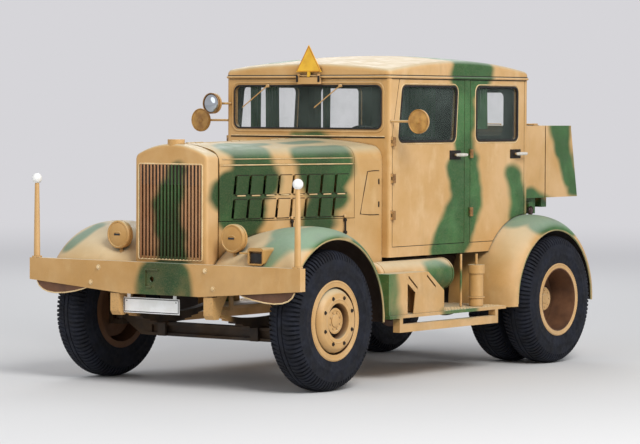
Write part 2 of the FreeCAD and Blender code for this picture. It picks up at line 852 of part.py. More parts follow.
def knuckle(side):
    """A forked steering knuckle with its kingpin, stub axle and arms."""
    reach = f"({PLATE_X} + knuckle_plate - kingpin_x + boss_radius)"
    pieces = [
        rod("Z", "kingpin_x", "0", EAR_LOW, "kingpin_radius", f"{EAR_HIGH} - {EAR_LOW}"),
        box("kingpin_x - boss_radius", "-boss_radius", EAR_LOW, reach, "boss_radius * 2", "ear_thickness"),
        box("kingpin_x - boss_radius", "-boss_radius", "boss_high + running", reach, "boss_radius * 2",
            "ear_thickness"),
        box(PLATE_X, "-knuckle_width / 2", EAR_LOW, "knuckle_plate", "knuckle_width",
            f"{EAR_HIGH} - {EAR_LOW}"),
        rod("X", PLATE_X, "0", AXLE_Z, "stub_radius", f"stub_reach - {PLATE_X}"),
        box("kingpin_x - arm_width / 2", "0", EAR_LOW, "arm_width", "arm_length", "arm_thickness"),
        rod("Z", "kingpin_x", "arm_length", EAR_LOW, "arm_width / 2", "arm_thickness"),
        rod("Z", "kingpin_x", "arm_length", f"{EAR_LOW} - arm_thickness * {TIE_PIN_SHARE}", "arm_width / 4",
            "arm_thickness * 2"),
    ]
    if side == "left":
        arm_x = "(kingpin_x - lateral_arm_length)"
        pieces += [
            box(arm_x, "-arm_width / 2", f"{EAR_HIGH} - arm_thickness", "lateral_arm_length", "arm_width",
                "arm_thickness"),
            rod("Z", arm_x, "0", f"{EAR_HIGH} - arm_thickness", "arm_width / 2", "arm_thickness"),
            rod("Z", arm_x, "0", f"{EAR_HIGH} - arm_thickness * {DRAG_PIN_SHARE}", "arm_width / 4",
                "arm_thickness * 2"),
        ]
    solid = joined(*pieces)
    finish(solid if side == "left" else mirrored(solid), f"knuckle_{side}")


def tie_rod():
    """The bar behind the axle that joins both knuckle arms, with an eye round each stud."""
    low = f"({EAR_LOW} - arm_thickness * {TIE_LOW_SHARE})"
    high = f"({EAR_LOW} - running / 2)"
    bar = rod("X", "-kingpin_x", "arm_length", f"({low} + {high}) / 2", "tie_rod_radius", "kingpin_x * 2")
    eye = rod("Z", "kingpin_x", "arm_length", low, f"arm_width * {LINK_EYE_SHARE}", f"{high} - {low}")
    bore = rod("Z", "kingpin_x", "arm_length", f"{low} - overrun", "arm_width / 4 + play",
               f"{high} - {low} + overrun * 2")
    finish(cut(joined(bar, eye, mirrored(eye)), bore, mirrored(bore)), "tie_rod")


DRAG_X = "(kingpin_x - lateral_arm_length)"
DRAG_HIGH = f"({EAR_HIGH} - arm_thickness - running / 2)"
DRAG_LOW = f"({DRAG_HIGH} - arm_thickness * {DRAG_DEPTH_SHARE})"
DRAG_Z = f"(({DRAG_HIGH} + {DRAG_LOW}) / 2)"
DROP_Z = f"({DRAG_Z} + drop_arm_length)"
DROP_X = f"({RAIL_OUTER} + steering_box_width + seat_gap * 2)"


def drag_link():
    """The link from the left knuckle to the drop arm, with its rear eye beside the arm's end."""
    bar = rod("Y", DRAG_X, "0", DRAG_Z, "drag_radius", "drop_y")
    eye = rod("Z", DRAG_X, "0", DRAG_LOW, f"arm_width * {LINK_EYE_SHARE}", f"{DRAG_HIGH} - {DRAG_LOW}")
    bore = rod("Z", DRAG_X, "0", f"{DRAG_LOW} - overrun", "arm_width / 4 + play",
               f"{DRAG_HIGH} - {DRAG_LOW} + overrun * 2")
    inner = f"({DROP_X} + drop_arm_thickness + seat_gap)"
    end = rod("X", inner, "drop_y", DRAG_Z, f"drop_arm_width * {DROP_EYE_SHARE}",
              f"{DRAG_X} + drag_radius - {inner}")
    finish(joined(cut(joined(bar, eye), bore), end), "drag_link")


def drop_arm():
    hub = rod("X", DROP_X, "drop_y", DROP_Z, "drop_boss_radius", "drop_arm_thickness")
    end = rod("X", DROP_X, "drop_y", DRAG_Z, "drop_arm_width / 2", "drop_arm_thickness")
    blade = box(DROP_X, "drop_y - drop_arm_width / 2", DRAG_Z, "drop_arm_thickness", "drop_arm_width",
                "drop_arm_length")
    bore = rod("X", f"{DROP_X} - overrun", "drop_y", DROP_Z, "drop_shaft_radius + play",
               "drop_arm_thickness + overrun * 2")
    finish(cut(joined(hub, end, blade), bore), "drop_arm")


def steering_box():
    """The gear case on the left rail with the shaft that carries the drop arm."""
    case = box(f"{RAIL_OUTER} + seat_gap", "drop_y - steering_box_length / 2",
               f"{DROP_Z} - steering_box_height / 2", "steering_box_width", "steering_box_length",
               "steering_box_height")
    shaft = rod("X", f"{RAIL_OUTER} + steering_box_width / 2", "drop_y", DROP_Z, "drop_shaft_radius",
                "steering_box_width / 2 + seat_gap * 2 + drop_arm_thickness")
    finish(joined(case, shaft), "steering_box")


def rear_axle():
    tube = rod("X", "-axle_tube_reach", "0", "0", "axle_tube_radius", "axle_tube_reach * 2")
    spindle = rod("X", "-spindle_reach", "0", "0", "spindle_radius", "spindle_reach * 2")
    case = ball("0", "0", "0", "differential_radius")
    nose = cone("Y", "0", "-nose_reach", "0", "nose_radius", f"nose_radius * {NOSE_FLARE_SHARE}", "nose_reach")
    seat = box("rear_spring_x - spring_width / 2", "-axle_tube_radius", "0", "spring_width",
               "axle_tube_radius * 2", "axle_tube_radius + leaf_thickness / 2 - seat_gap")
    solid = joined(tube, spindle, case, nose, seat, mirrored(seat))
    return place(solid, y="wheelbase", z=AXLE_Z)


def axles():
    finish(grouped(front_axle(), rear_axle()), "axles")


def drive():
    """The engine and gearbox as plain masses, and the shaft to the rear axle."""
    engine = box("-engine_half", "engine_front", "engine_low", "engine_half * 2",
                 "engine_back - engine_front", "engine_high - engine_low")
    finish(engine, "engine_block")
    gearbox = box("-gearbox_half", "engine_back + seat_gap", "gearbox_low", "gearbox_half * 2",
                  "gearbox_back - engine_back - seat_gap", "gearbox_high - gearbox_low")
    start = FreeCAD.Vector(0, size("gearbox_back") + size("seat_gap"),
                           (size("gearbox_low") + size("gearbox_high")) / 2)
    end = FreeCAD.Vector(0, size("wheelbase") - size("nose_reach") - size("seat_gap"), size("tyre_radius"))
    run = end - start
    shaft = Part.makeCylinder(size("shaft_radius"), run.Length, start, run)
    for point, way in ((start, 1), (end, -1)):
        low = point if way == 1 else point - FreeCAD.Vector(0, size("shaft_radius"), 0)
        shaft = shaft.fuse(Part.makeCylinder(size("shaft_radius") * SHAFT_FLARE_SHARE, size("shaft_radius"), low,
                                             FreeCAD.Vector(0, 1, 0)))
    trim = Part.makeBox(size("rail_x"), run.y, size("rail_x") * 2,
                        FreeCAD.Vector(-size("rail_x") / 2, start.y, 0))
    finish(grouped(gearbox, fixed_shape(shaft.common(trim))), "driveline")


def exhaust():
    """The silencer under the right side, hung from the rail, with its tail pipe."""
    can = rod("Y", "exhaust_x", "exhaust_front", "exhaust_z", "exhaust_radius",
              "exhaust_back - exhaust_front")
    tail = rod("Y", "exhaust_x", "exhaust_front - tailpipe_lead", "exhaust_z", "exhaust_radius / 3",
               "exhaust_back - exhaust_front + tailpipe_lead + tailpipe_tail")
    straps = [box("exhaust_x", y, "exhaust_z + exhaust_radius - rail_wall * 2",
                  f"-exhaust_x - {RAIL_OUTER} - seat_gap", "exhaust_strap", "rail_wall * 3")
              for y in ("exhaust_front + overrun * 3", "exhaust_back - overrun * 4")]
    finish(joined(can, tail, *straps), "exhaust")


def bumper():
    """A deep pressed board with turned flanges, lower in the middle than at its ends."""
    def board(inset):
        return [
            (f"-bumper_half + {inset}", f"bumper_end_low + {inset}"),
            (f"-bumper_flat_half", f"bumper_low + {inset}"),
            (f"bumper_flat_half", f"bumper_low + {inset}"),
            (f"bumper_half - {inset}", f"bumper_end_low + {inset}"),
            (f"bumper_half - {inset}", f"bumper_top - {inset}"),
            (f"-bumper_half + {inset}", f"bumper_top - {inset}"),
        ]
    solid = prism("XZ", board("0"), "-front_reach", "bumper_depth")
    hollow = prism("XZ", board("bumper_wall"), "bumper_wall - front_reach", "bumper_depth")
    stiff = [box(x, "bumper_wall / 2 - front_reach", "rail_low", "rail_width",
                 "bumper_depth - bumper_wall / 2", "rail_height")
             for x in (RAIL_INNER, f"-{RAIL_OUTER}")]
    crank = rod("Y", "crank_x", "-front_reach - overrun", "crank_z", "crank_radius", "bumper_wall + overrun * 2")
    guard = [
        box("crank_x - crank_guard_half", "-front_reach - crank_guard_wall", "crank_z + crank_guard_half",
            "crank_guard_half * 2", f"crank_guard_wall * {GUARD_DEPTH_SHARE}", "crank_guard_wall"),
        box("crank_x - crank_guard_half", "-front_reach - crank_guard_wall", "crank_z - crank_guard_half",
            "crank_guard_wall", f"crank_guard_wall * {GUARD_DEPTH_SHARE}",
            "crank_guard_half * 2 + crank_guard_wall"),
        box("crank_x - crank_guard_half", "-front_reach - crank_guard_wall", "crank_z - crank_guard_half",
            "crank_guard_half", f"crank_guard_wall * {GUARD_DEPTH_SHARE}", "crank_guard_wall"),
    ]
    finish(joined(cut(solid, hollow, crank), *stiff, *guard), "bumper")


POLE_X = "(bumper_half - pole_inset)"


def width_poles():
    foot = box(f"{POLE_X} - pole_radius * 2", "pole_y - pole_radius * 2", "bumper_top + seat_gap",
               "pole_radius * 4", "pole_radius * 4", "pole_radius")
    pole = rod("Z", POLE_X, "pole_y", "bumper_top + seat_gap", "pole_radius",
               "pole_top - bumper_top - seat_gap")
    tip = ball(POLE_X, "pole_y", "pole_top", "pole_ball")
    finish(pair(joined(foot, pole, tip)), "width_poles")


def number_plate():
    """A blank plate on two straps under the bumper."""
    plate = box("plate_right", "plate_y", "plate_low", "plate_left - plate_right", "plate_thickness",
                "plate_high - plate_low")
    straps = [box(x, "plate_y + plate_thickness", "plate_low", "plate_strap", "plate_thickness",
                  "bumper_low - plate_low - seat_gap")
              for x in ("plate_right + plate_strap", "plate_left - plate_strap * 2")]
    finish(joined(plate, *straps), "number_plate")


def arched_block():
    """The radiator's outer form: straight sides, a wide arch on top and a softened front edge."""
    half, top, arch, corner = (size("radiator_half"), size("radiator_top"), size("radiator_arch"),
                               size("radiator_corner"))
    y = size("radiator_front")
    low = size("rail_low") + size("rail_height") + size("seat_gap")
    reach, inner = half - corner, arch - corner
    shoulder = top - arch + math.sqrt(inner ** 2 - reach ** 2)
    turn = math.asin(reach / inner)
    quarter = math.pi / 2

    def on_corner(side, angle):
        return FreeCAD.Vector(side * (reach + corner * math.sin(angle)), y, shoulder + corner * math.cos(angle))

    feet = [FreeCAD.Vector(side * half, y, low) for side in (-1, 1)]
    edges = [Part.makeLine(feet[0], feet[1])]
    for side, foot in zip((-1, 1), feet):
        edges.append(Part.makeLine(foot, on_corner(side, quarter)))
        edges.append(Part.Arc(on_corner(side, quarter), on_corner(side, (quarter + turn) / 2),
                              on_corner(side, turn)).toShape())
    edges.append(Part.Arc(on_corner(-1, turn), FreeCAD.Vector(0, y, top), on_corner(1, turn)).toShape())
    face = Part.Face(Part.Wire(Part.__sortEdges__(edges)))
    solid = face.extrude(FreeCAD.Vector(0, size("radiator_back") - y, 0))
    front_edges = [edge for edge in solid.Edges if edge.BoundBox.YMax < y + size("seat_gap")
                   and edge.BoundBox.ZMax > low + size("overrun")]
    return fixed_shape(solid.makeFillet(size("radiator_edge"), front_edges))


def radiator():
    """The arched radiator shell with its grille opening, core, bars and cap."""
    low = f"({RAIL_HIGH} + seat_gap)"
    outer = arched_block()
    hollow = box("-radiator_half + radiator_wall", "radiator_front + radiator_wall",
                 f"{low} - overrun", "(radiator_half - radiator_wall) * 2",
                 "radiator_back - radiator_front", f"radiator_shoulder - {low} + overrun")
    mouth = box("-grille_half", "radiator_front - overrun", "grille_low", "grille_half * 2",
                "overrun + radiator_wall * 2", "grille_high - grille_low")
    cap = rod("Z", "0", "(radiator_front + radiator_back) / 2", "radiator_top - cap_height / 2",
              "cap_radius", f"cap_height * {CAP_DEPTH_SHARE}")
    finish(joined(cut(outer, hollow, mouth), cap), "radiator_shell")
    core_y = "(radiator_front + radiator_wall + grille_bar_depth + running)"
    finish(box("-radiator_half + radiator_wall + seat_gap", core_y, f"{low} + seat_gap",
               "(radiator_half - radiator_wall - seat_gap) * 2", "core_depth",
               f"radiator_shoulder - {low} - seat_gap * 2"), "radiator_core")
    bar_y = "(radiator_front + radiator_wall + seat_gap)"
    bars = []
    for n in range(int(size("grille_bars"))):
        share = (n + 0.5) / int(size("grille_bars"))
        bars.append(box(f"-grille_half + grille_half * 2 * {share:.4f} - grille_bar_width / 2", bar_y,
                        "grille_low - grille_bar_depth / 2", "grille_bar_width", "grille_bar_depth / 2",
                        "grille_high - grille_low + grille_bar_depth"))
    rails = [box("-grille_half", bar_y, z, "grille_half * 2", "grille_bar_depth", "grille_bar_depth")
             for z in ("grille_low - grille_bar_depth", "grille_high")]
    finish(joined(*rails, *bars), "grille")


def hood_section(station, low, inset, near):
    """The right-hand half of a hood section at one station (y, half width, top, arch radius)."""
    y, half, top, arch = station
    edge = size("hood_edge_radius") - inset
    half -= inset
    top -= inset
    arch -= inset
    middle = top - arch
    shoulder = middle + math.sqrt((arch - edge) ** 2 - (half - edge) ** 2)
    begin, end = math.asin(near / arch), math.asin((half - edge) / (arch - edge))

    def on_arch(angle):
        return FreeCAD.Vector(arch * math.sin(angle), y, middle + arch * math.cos(angle))

    def on_edge(angle):
        return FreeCAD.Vector(half - edge + edge * math.sin(angle), y, shoulder + edge * math.cos(angle))

    foot, corner = FreeCAD.Vector(near, y, low), FreeCAD.Vector(half, y, low)
    quarter = math.pi / 2
    edges = [
        Part.makeLine(foot, on_arch(begin)),
        Part.Arc(on_arch(begin), on_arch((begin + end) / 2), on_arch(end)).toShape(),
        Part.Arc(on_edge(end), on_edge((end + quarter) / 2), on_edge(quarter)).toShape(),
        Part.makeLine(on_edge(quarter), corner),
        Part.makeLine(corner, foot),
    ]
    return Part.Wire(edges)


def lofted_shell(first, last, low, near, wall):
    """A half shell between two stations, open below and at both ends."""
    over = size("overrun")
    outer = Part.makeLoft([hood_section(station, low, 0, near) for station in (first, last)], True, True)
    grow = [(b - a) * over / (last[0] - first[0]) for a, b in zip(first, last)]
    wider = [[a - g for a, g in zip(first, grow)], [b + g for b, g in zip(last, grow)]]
    sections = [hood_section(station, low - over, wall, near - over) for station in wider]
    inner = Part.makeLoft(sections, True, True)
    return outer.cut(inner)


def beside_hood(points, first, last, start, end):
    """A profile of (distance rearwards, outwards) points on the hood's side plane, raised from start to end.

    Each end is a pair (shift rearwards, height above the floor)."""
    run = FreeCAD.Vector(last[1] - first[1], last[0] - first[0], 0).normalize()
    out = FreeCAD.Vector(run.y, -run.x, 0)
    base = FreeCAD.Vector(first[1], first[0], 0)
    (shift, low), (last_shift, high) = start, end
    corners = [base + run * (across + shift) + out * proud + FreeCAD.Vector(0, 0, low)
               for across, proud in points]
    face = Part.Face(Part.makePolygon(corners + corners[:1]))
    return face.extrude(run * (last_shift - shift) + FreeCAD.Vector(0, 0, high - low))


def louvred(shell, first, last):
    """Add two rows of scoops that stand open at their front edge, each over a slot in the skin."""
    wall, rise, sheet_wall = size("hood_wall"), size("louvre_rise"), size("louvre_sheet")
    slope = math.hypot(last[0] - first[0], last[1] - first[1]) / (last[0] - first[0])
    start = (size("louvre_front") - first[0]) * slope
    pitch = (size("louvre_back") - size("louvre_front")) * slope / size("louvre_columns")
    width = pitch - size("louvre_gap")
    scoops = []
    slots = []
    for row in range(2):
        high = size("louvre_top") - row * (size("louvre_height") + size("louvre_gap") * 2)
        low = high - size("louvre_height")
        for column in range(int(size("louvre_columns"))):
            near = start + pitch * column - row * size("louvre_lean")
            ends = ((near, low), (near + size("louvre_lean"), high))
            scoops.append(beside_hood([(0, -wall / 2), (0, rise), (width, 0), (width, -wall / 2)],
                                      first, last, *ends))
            inner_ends = ((near, low + sheet_wall), (near + size("louvre_lean"), high - sheet_wall))
            slots.append(beside_hood([(-rise, -wall * 2), (-rise, 0), (0, 0), (0, rise - sheet_wall),
                                      (width * LOUVRE_OPEN_SHARE, 0), (width * LOUVRE_OPEN_SHARE, -wall * 2)],
                                     first, last, *inner_ends))
    return shell.multiFuse(scoops).cut(Part.makeCompound(slots))


def hood_mouldings(first, last):
    """One raised strip along the shoulder of the hood's side."""
    length = math.hypot(last[0] - first[0], last[1] - first[1])
    low = size("moulding_z")
    rise = size("moulding_rise")
    strip = [(0, -rise / 2), (0, rise), (length, rise), (length, -rise / 2)]
    return beside_hood(strip, first, last, (0, low), (0, low + size("moulding_height")))


def hood():
    """The two hood halves, hinged along the top, the valances below and the scuttle behind."""
    seam = size("hood_seam")
    front = (size("radiator_back") + seam, size("hood_front_half"), size("hood_front_top"),
             size("hood_front_arch"))
    back = (size("hood_back"), size("hood_back_half"), size("hood_back_top"), size("hood_back_arch"))
    barrel = size("hood_hinge_radius") + size("hood_hinge_wall")
    near = barrel + seam
    shell = lofted_shell(front, back, size("hood_low"), near, size("hood_wall"))
    shell = louvred(shell.fuse(hood_mouldings(front, back)), front, back)
    start = FreeCAD.Vector(0, front[0], front[2] - size("hood_wall") / 2)
    run = FreeCAD.Vector(0, back[0], back[2] - size("hood_wall") / 2) - start
    length = size("hood_barrel_length")
    for side, first in (("left", 0), ("right", length + size("running"))):
        half = shell
        for share in HOOD_HINGE_SHARES:
            low = start + run * share + run * (first / run.Length)
            tube = Part.makeCylinder(barrel, length, low, run)
            leaf = Part.makeBox(near + size("hood_wall"), length, size("hood_wall"),
                                low - FreeCAD.Vector(0, 0, size("hood_wall") / 2))
            bore = Part.makeCylinder(size("hood_hinge_radius") + size("play"), length * 2,
                                     low - run * (length / 2 / run.Length), run)
            half = half.fuse(tube.fuse(leaf).cut(bore))
        finish(fixed_shape(half) if side == "left" else mirrored(fixed_shape(half)), f"hood_{side}")
    over = size("overrun")
    spine = fixed_shape(Part.makeCylinder(size("hood_hinge_radius"), run.Length + over,
                                          start - run * ((seam - size("seat_gap")) / run.Length), run))
    plan = [
        ("0", "radiator_back + seat_gap"),
        ("hood_front_half", "radiator_back + seat_gap"),
        ("hood_back_half", "hood_back + hood_seam - seat_gap"),
        ("0", "hood_back + hood_seam - seat_gap"),
    ]
    taper = "((hood_back_half - hood_front_half) / (hood_back - radiator_back))"
    inner = [
        ("-overrun", "radiator_back - overrun"),
        (f"hood_front_half - hood_wall - overrun * {taper}", "radiator_back - overrun"),
        (f"hood_back_half - hood_wall + overrun * {taper}", "hood_back + overrun"),
        ("-overrun", "hood_back + overrun"),
    ]
    low = f"({RAIL_HIGH} + seat_gap)"
    depth = f"hood_low - hood_seam - {low}"
    valance = cut(prism("XY", plan, low, depth),
                  prism("XY", inner, f"{low} - overrun", f"{depth} + overrun * 2"))
    finish(pair(valance), "hood_valances")
    start = size("hood_back") + seam
    shell = lofted_shell((start, size("hood_back_half"), size("hood_back_top"), size("hood_back_arch")),
                         (size("cab_front") - size("seat_gap"), size("scuttle_back_half"), size("scuttle_top"),
                          size("scuttle_arch")),
                         size("rail_low") + size("rail_height") + size("seat_gap"), 0, size("hood_wall"))
    finish(joined(fixed_shape(shell), mirrored(fixed_shape(shell)), spine), "scuttle")


def door_outline(front, back, lean, gap):
    """A side door's outline in (y, z), grown by a gap; its front edge leans back above the belt."""
    return [
        (f"{front} - {gap}", f"door_low - {gap}"),
        (f"{front} - {gap}", "door_belt"),
        (f"{front} + {lean} - {gap}", f"door_high + {gap}"),
        (f"{back} + {gap}", f"door_high + {gap}"),
        (f"{back} + {gap}", f"door_low - {gap}"),
    ]


def window_outline(front, back, lean, inset):
    return [
        (f"{front} + {inset}", f"window_low + {inset}"),
        (f"{front} + {lean} + {inset}", f"window_high - {inset}"),
        (f"{back} + {lean} * {PANE_LEAN_SHARE} - {inset}", f"window_high - {inset}"),
        (f"{back} - {inset}", f"window_low + {inset}"),
    ]


DOORS = {
    "front": ("front_door_front", "front_door_back", "door_lean", "front_window_front", "front_window_back",
              "window_lean"),
    "rear": ("rear_door_front", "rear_door_back", "0", "rear_window_front", "rear_window_back", "0"),
}
HINGE_SHARES = {"front": (0.16, 0.38, 0.60), "rear": (0.16, 0.52)}


def arch_cutter(extra="0"):
    return rod("X", RAIL_OUTER, "wheelbase", AXLE_Z, f"rear_crown_radius + seat_gap + {extra}", "cab_half")


def hinge_spots(which):
    return [f"(door_low + (door_high - door_low) * {share})" for share in HINGE_SHARES[which]]


def cab_hinge(y, z):
    """The cab's half of a door hinge: two barrels on one pin, and a leaf on the post."""
    third = "hinge_height / 3"
    pin = rod("Z", "hinge_x", y, z, "hinge_radius / 2", "hinge_height")
    low = rod("Z", "hinge_x", y, z, "hinge_radius", f"{third} - seat_gap")
    high = rod("Z", "hinge_x", y, f"{z} + {third} * 2 + seat_gap", "hinge_radius", f"{third} - seat_gap")
    leaf = box("cab_half - seat_gap", f"{y} - hinge_radius * 2", z, "hinge_x - cab_half + seat_gap",
               "hinge_radius * 2", f"{third} - seat_gap")
    upper = box("cab_half - seat_gap", f"{y} - hinge_radius * 2", f"{z} + {third} * 2 + seat_gap",
                "hinge_x - cab_half + seat_gap", "hinge_radius * 2", f"{third} - seat_gap")
    return [pin, low, high, leaf, upper]


def door_hinge(y, z):
    third = "hinge_height / 3"
    barrel = cut(rod("Z", "hinge_x", y, f"{z} + {third} + seat_gap", "hinge_radius", f"{third} - seat_gap * 2"),
                 rod("Z", "hinge_x", y, z, "hinge_radius / 2 + play", "hinge_height"))
    leaf = box("cab_half - seat_gap", f"{y} + hinge_radius / 2 + seat_gap * 2", f"{z} + {third} + seat_gap",
               "hinge_x - cab_half - seat_gap", f"hinge_radius * {HINGE_LEAF_SHARE}", f"{third} - seat_gap * 2")
    return [barrel, leaf]


def cab_body():
    """The hollow cab below the drip moulding, with its doors, windows and rear wheel arches cut out."""
    outer = box("-cab_half", "cab_front", "cab_low", "cab_half * 2", "cab_back - cab_front",
                "cab_top - cab_low")
    outer = rounded(outer, "cab_corner", along("Z"))
    inner = box("-cab_half + cab_wall", "cab_front + cab_wall", "cab_low - overrun",
                "(cab_half - cab_wall) * 2", "cab_back - cab_front - cab_wall * 2",
                "cab_top - cab_low + overrun * 2")
    openings = []
    hinges = []
    for which, (front, back, lean, *_window) in DOORS.items():
        opening = prism("YZ", door_outline(front, back, lean, "door_gap"),
                        "cab_half - cab_wall - seat_gap", "cab_wall + overrun")
        openings += [opening, mirrored(opening)]
        for z in hinge_spots(which):
            for piece in cab_hinge(f"({front} - door_gap / 2)", z):
                hinges += [piece, mirrored(piece)]
    screen = box("-windscreen_half", "cab_front - overrun", "windscreen_low", "windscreen_half * 2",
                 "cab_wall + overrun * 2", "windscreen_high - windscreen_low")
    screen = rounded(screen, "window_corner", along("Y"))
    back_window = box("back_window_inner", "cab_back - cab_wall - overrun", "back_window_low",
                      "back_window_outer - back_window_inner", "cab_wall + overrun * 2",
                      "back_window_high - back_window_low")
    back_window = rounded(back_window, "window_corner", along("Y"))
    arch = arch_cutter()
    shell = cut(outer, inner, *openings, screen, back_window, mirrored(back_window), arch, mirrored(arch))
    finish(joined(shell, *hinges), "cab_body")


def cab_roof():
    """A domed roof pressing that swells both ways, with a soft edge over the drip, hollow from below."""
    across = "(cab_half + roof_overhang)"
    half = "((cab_back - cab_front) / 2 + roof_overhang)"
    middle = "(cab_front + cab_back) / 2"
    swell = f"(({across}^2 + {half}^2) / (roof_rise * {DOME_SHARE} * 2))"
    outer = box(f"-{across}", "cab_front - roof_overhang", "cab_top + seat_gap", f"{across} * 2",
                f"{half} * 2", "roof_rise - seat_gap")
    outer = rounded(outer, "roof_corner", along("Z"))
    outer = common(outer, ball("0", middle, f"cab_top + roof_rise - {swell}", swell))
    low = size("cab_top") + size("seat_gap")
    outer = rounded(outer, "roof_edge_radius", lambda edge: edge.BoundBox.ZMin > low + 1
                    and edge.BoundBox.ZMax - edge.BoundBox.ZMin < size("roof_rise") * DOME_SHARE)
    inner = box("-cab_half + cab_wall", "cab_front + cab_wall", "cab_top - overrun",
                "(cab_half - cab_wall) * 2", "cab_back - cab_front - cab_wall * 2", "roof_rise + overrun")
    inner = common(inner, ball("0", middle, f"cab_top + roof_rise - roof_wall - {swell}", swell))
    finish(cut(outer, inner), "cab_roof")


def cab_floor():
    plate = box("-cab_half + cab_wall + seat_gap", "cab_front + cab_wall + seat_gap",
                "floor_high - floor_thickness", "(cab_half - cab_wall - seat_gap) * 2",
                "cab_back - cab_front - (cab_wall + seat_gap) * 2", "floor_thickness")
    arch = arch_cutter()
    finish(cut(plate, arch, mirrored(arch)), "cab_floor")


def glass():
    """The fixed panes: the windscreen and the two rear windows."""
    pane_y = "cab_front + cab_wall / 2"
    screen = box("-windscreen_half + seat_gap", pane_y, "windscreen_low + seat_gap",
                 "(windscreen_half - seat_gap) * 2", "glass_thickness",
                 "windscreen_high - windscreen_low - seat_gap * 2")
    screen = rounded(screen, "window_corner", along("Y"))
    pane = box("back_window_inner + seat_gap", "cab_back - cab_wall / 2", "back_window_low + seat_gap",
               "back_window_outer - back_window_inner - seat_gap * 2", "glass_thickness",
               "back_window_high - back_window_low - seat_gap * 2")
    pane = rounded(pane, "window_corner", along("Y"))
    finish(grouped(screen, pane, mirrored(pane)), "cab_glass")


def doors():
    """Four doors with windows, handles and their half of the hinges, and their panes."""
    for which, (front, back, lean, window_front, window_back, window_lean) in DOORS.items():
        skin = prism("YZ", door_outline(front, back, lean, "0"), "cab_half - door_skin", "door_skin")
        hole = prism("YZ", window_outline(window_front, window_back, window_lean, "0"),
                     "cab_half - door_skin - overrun", "door_skin + overrun * 2")
        hole = rounded(hole, "window_corner", along("X"))
        tools = [hole]
        if which == "rear":
            tools.append(arch_cutter("door_gap"))
        handle_y = f"({back} - handle_length * {HANDLE_BACK_SHARE})"
        handle = rod("Y", "cab_half + handle_reach", handle_y, "handle_z", "handle_radius", "handle_length")
        stem = rod("X", "cab_half - door_skin / 2", handle_y, "handle_z", "handle_radius",
                   "door_skin / 2 + handle_reach")
        door = joined(cut(skin, *tools), handle, stem)
        hinges = []
        for z in hinge_spots(which):
            hinges += door_hinge(f"({front} - door_gap / 2)", z)
        door = joined(door, *hinges)
        pane = prism("YZ", window_outline(window_front, window_back, window_lean, "seat_gap"),
                     "cab_half - door_skin / 2", "glass_thickness")
        pane = rounded(pane, "window_corner", along("X"))
        for side in ("left", "right"):
            finish(door if side == "left" else mirrored(door), f"{which}_door_{side}")
            finish(pane if side == "left" else mirrored(pane), f"{which}_door_glass_{side}")


SEAT_HALF = "(cab_half - door_skin - seat_inset)"


def interior():
    """Seats as soft blocks on their boxes, the dashboard and the steering wheel on its column."""
    arch = arch_cutter("door_gap")
    boxes = []
    cushions = []
    for front, back in (("front_seat_front", "front_seat_back"), ("rear_seat_front", "rear_seat_back")):
        boxes.append(box(f"-{SEAT_HALF}", front, "floor_high + seat_gap", f"{SEAT_HALF} * 2", f"{back} - {front}",
                         "seat_low - floor_high - seat_gap * 2"))
        cushions.append(box(f"-{SEAT_HALF}", front, "seat_low", f"{SEAT_HALF} * 2", f"{back} - {front}",
                            "seat_cushion"))
        cushions.append(box(f"-{SEAT_HALF}", f"{back} - backrest_thickness", "seat_low + seat_cushion + seat_gap",
                            f"{SEAT_HALF} * 2", "backrest_thickness",
                            "backrest_high - seat_low - seat_cushion - seat_gap"))
    finish(grouped(boxes[0], cut(boxes[1], arch, mirrored(arch))), "seat_boxes")
    finish(grouped(*cushions), "seat_cushions")
    dash = box("-cab_half + cab_wall + seat_gap", "cab_front + cab_wall + seat_gap", "dash_low",
               "(cab_half - cab_wall - seat_gap) * 2", "dash_depth", "dash_high - dash_low")
    return dash


def steering_wheel(dash):
    """The wheel, and its column that leans from the floor through the dashboard towards the driver."""
    tilt = math.radians(size("column_tilt"))
    centre = FreeCAD.Vector(size("steer_wheel_x"), size("steer_wheel_y"), size("steer_wheel_z"))
    way = FreeCAD.Vector(0, math.sin(tilt), math.cos(tilt))
    ring = Part.makeTorus(size("steer_wheel_radius"), size("steer_wheel_tube"), centre, way)
    hub = Part.makeCylinder(size("column_radius") * 2, size("column_radius") * WHEEL_HUB_SHARE * 2,
                            centre - way * size("column_radius") * WHEEL_HUB_SHARE, way)
    shape = ring.fuse(hub)
    across = FreeCAD.Vector(1, 0, 0)
    upward = way.cross(across)
    for n in range(SPOKES):
        angle = math.pi / 2 + 2 * math.pi * n / SPOKES
        spoke = across * math.cos(angle) + upward * math.sin(angle)
        shape = shape.fuse(Part.makeCylinder(size("steer_wheel_tube") * SPOKE_SHARE, size("steer_wheel_radius"),
                                             centre, spoke))
    finish(fixed_shape(shape), "steering_wheel")
    top = centre - way * (size("column_radius") * WHEEL_HUB_SHARE + size("seat_gap"))
    run = (top.z - size("floor_high") - size("seat_gap") * 2) / way.z
    column = Part.makeCylinder(size("column_radius"), run, top, way * -1)
    keep = Part.makeBox(size("cab_half") * 2, size("cab_back"), size("cab_top"),
                        FreeCAD.Vector(-size("cab_half"), size("cab_front") + size("cab_wall") + size("seat_gap"),
                                       size("floor_high") + size("seat_gap")))
    finish(joined(dash, fixed_shape(column.common(keep))), "dashboard")


def inner_slope(inner_x, inner_radius, crown_x, crown_radius):
    """The arc from a fender's inner edge up to its crown, level at the crown."""
    across, rise = crown_x - inner_x, crown_radius - inner_radius
    radius = (across * across + rise * rise) / (2 * rise)
    half = across / 2
    middle = FreeCAD.Vector(crown_x - half, 0, crown_radius - radius + math.sqrt(radius * radius - half * half))
    return Part.Arc(FreeCAD.Vector(inner_x, 0, inner_radius), middle,
                    FreeCAD.Vector(crown_x, 0, crown_radius)).toShape()


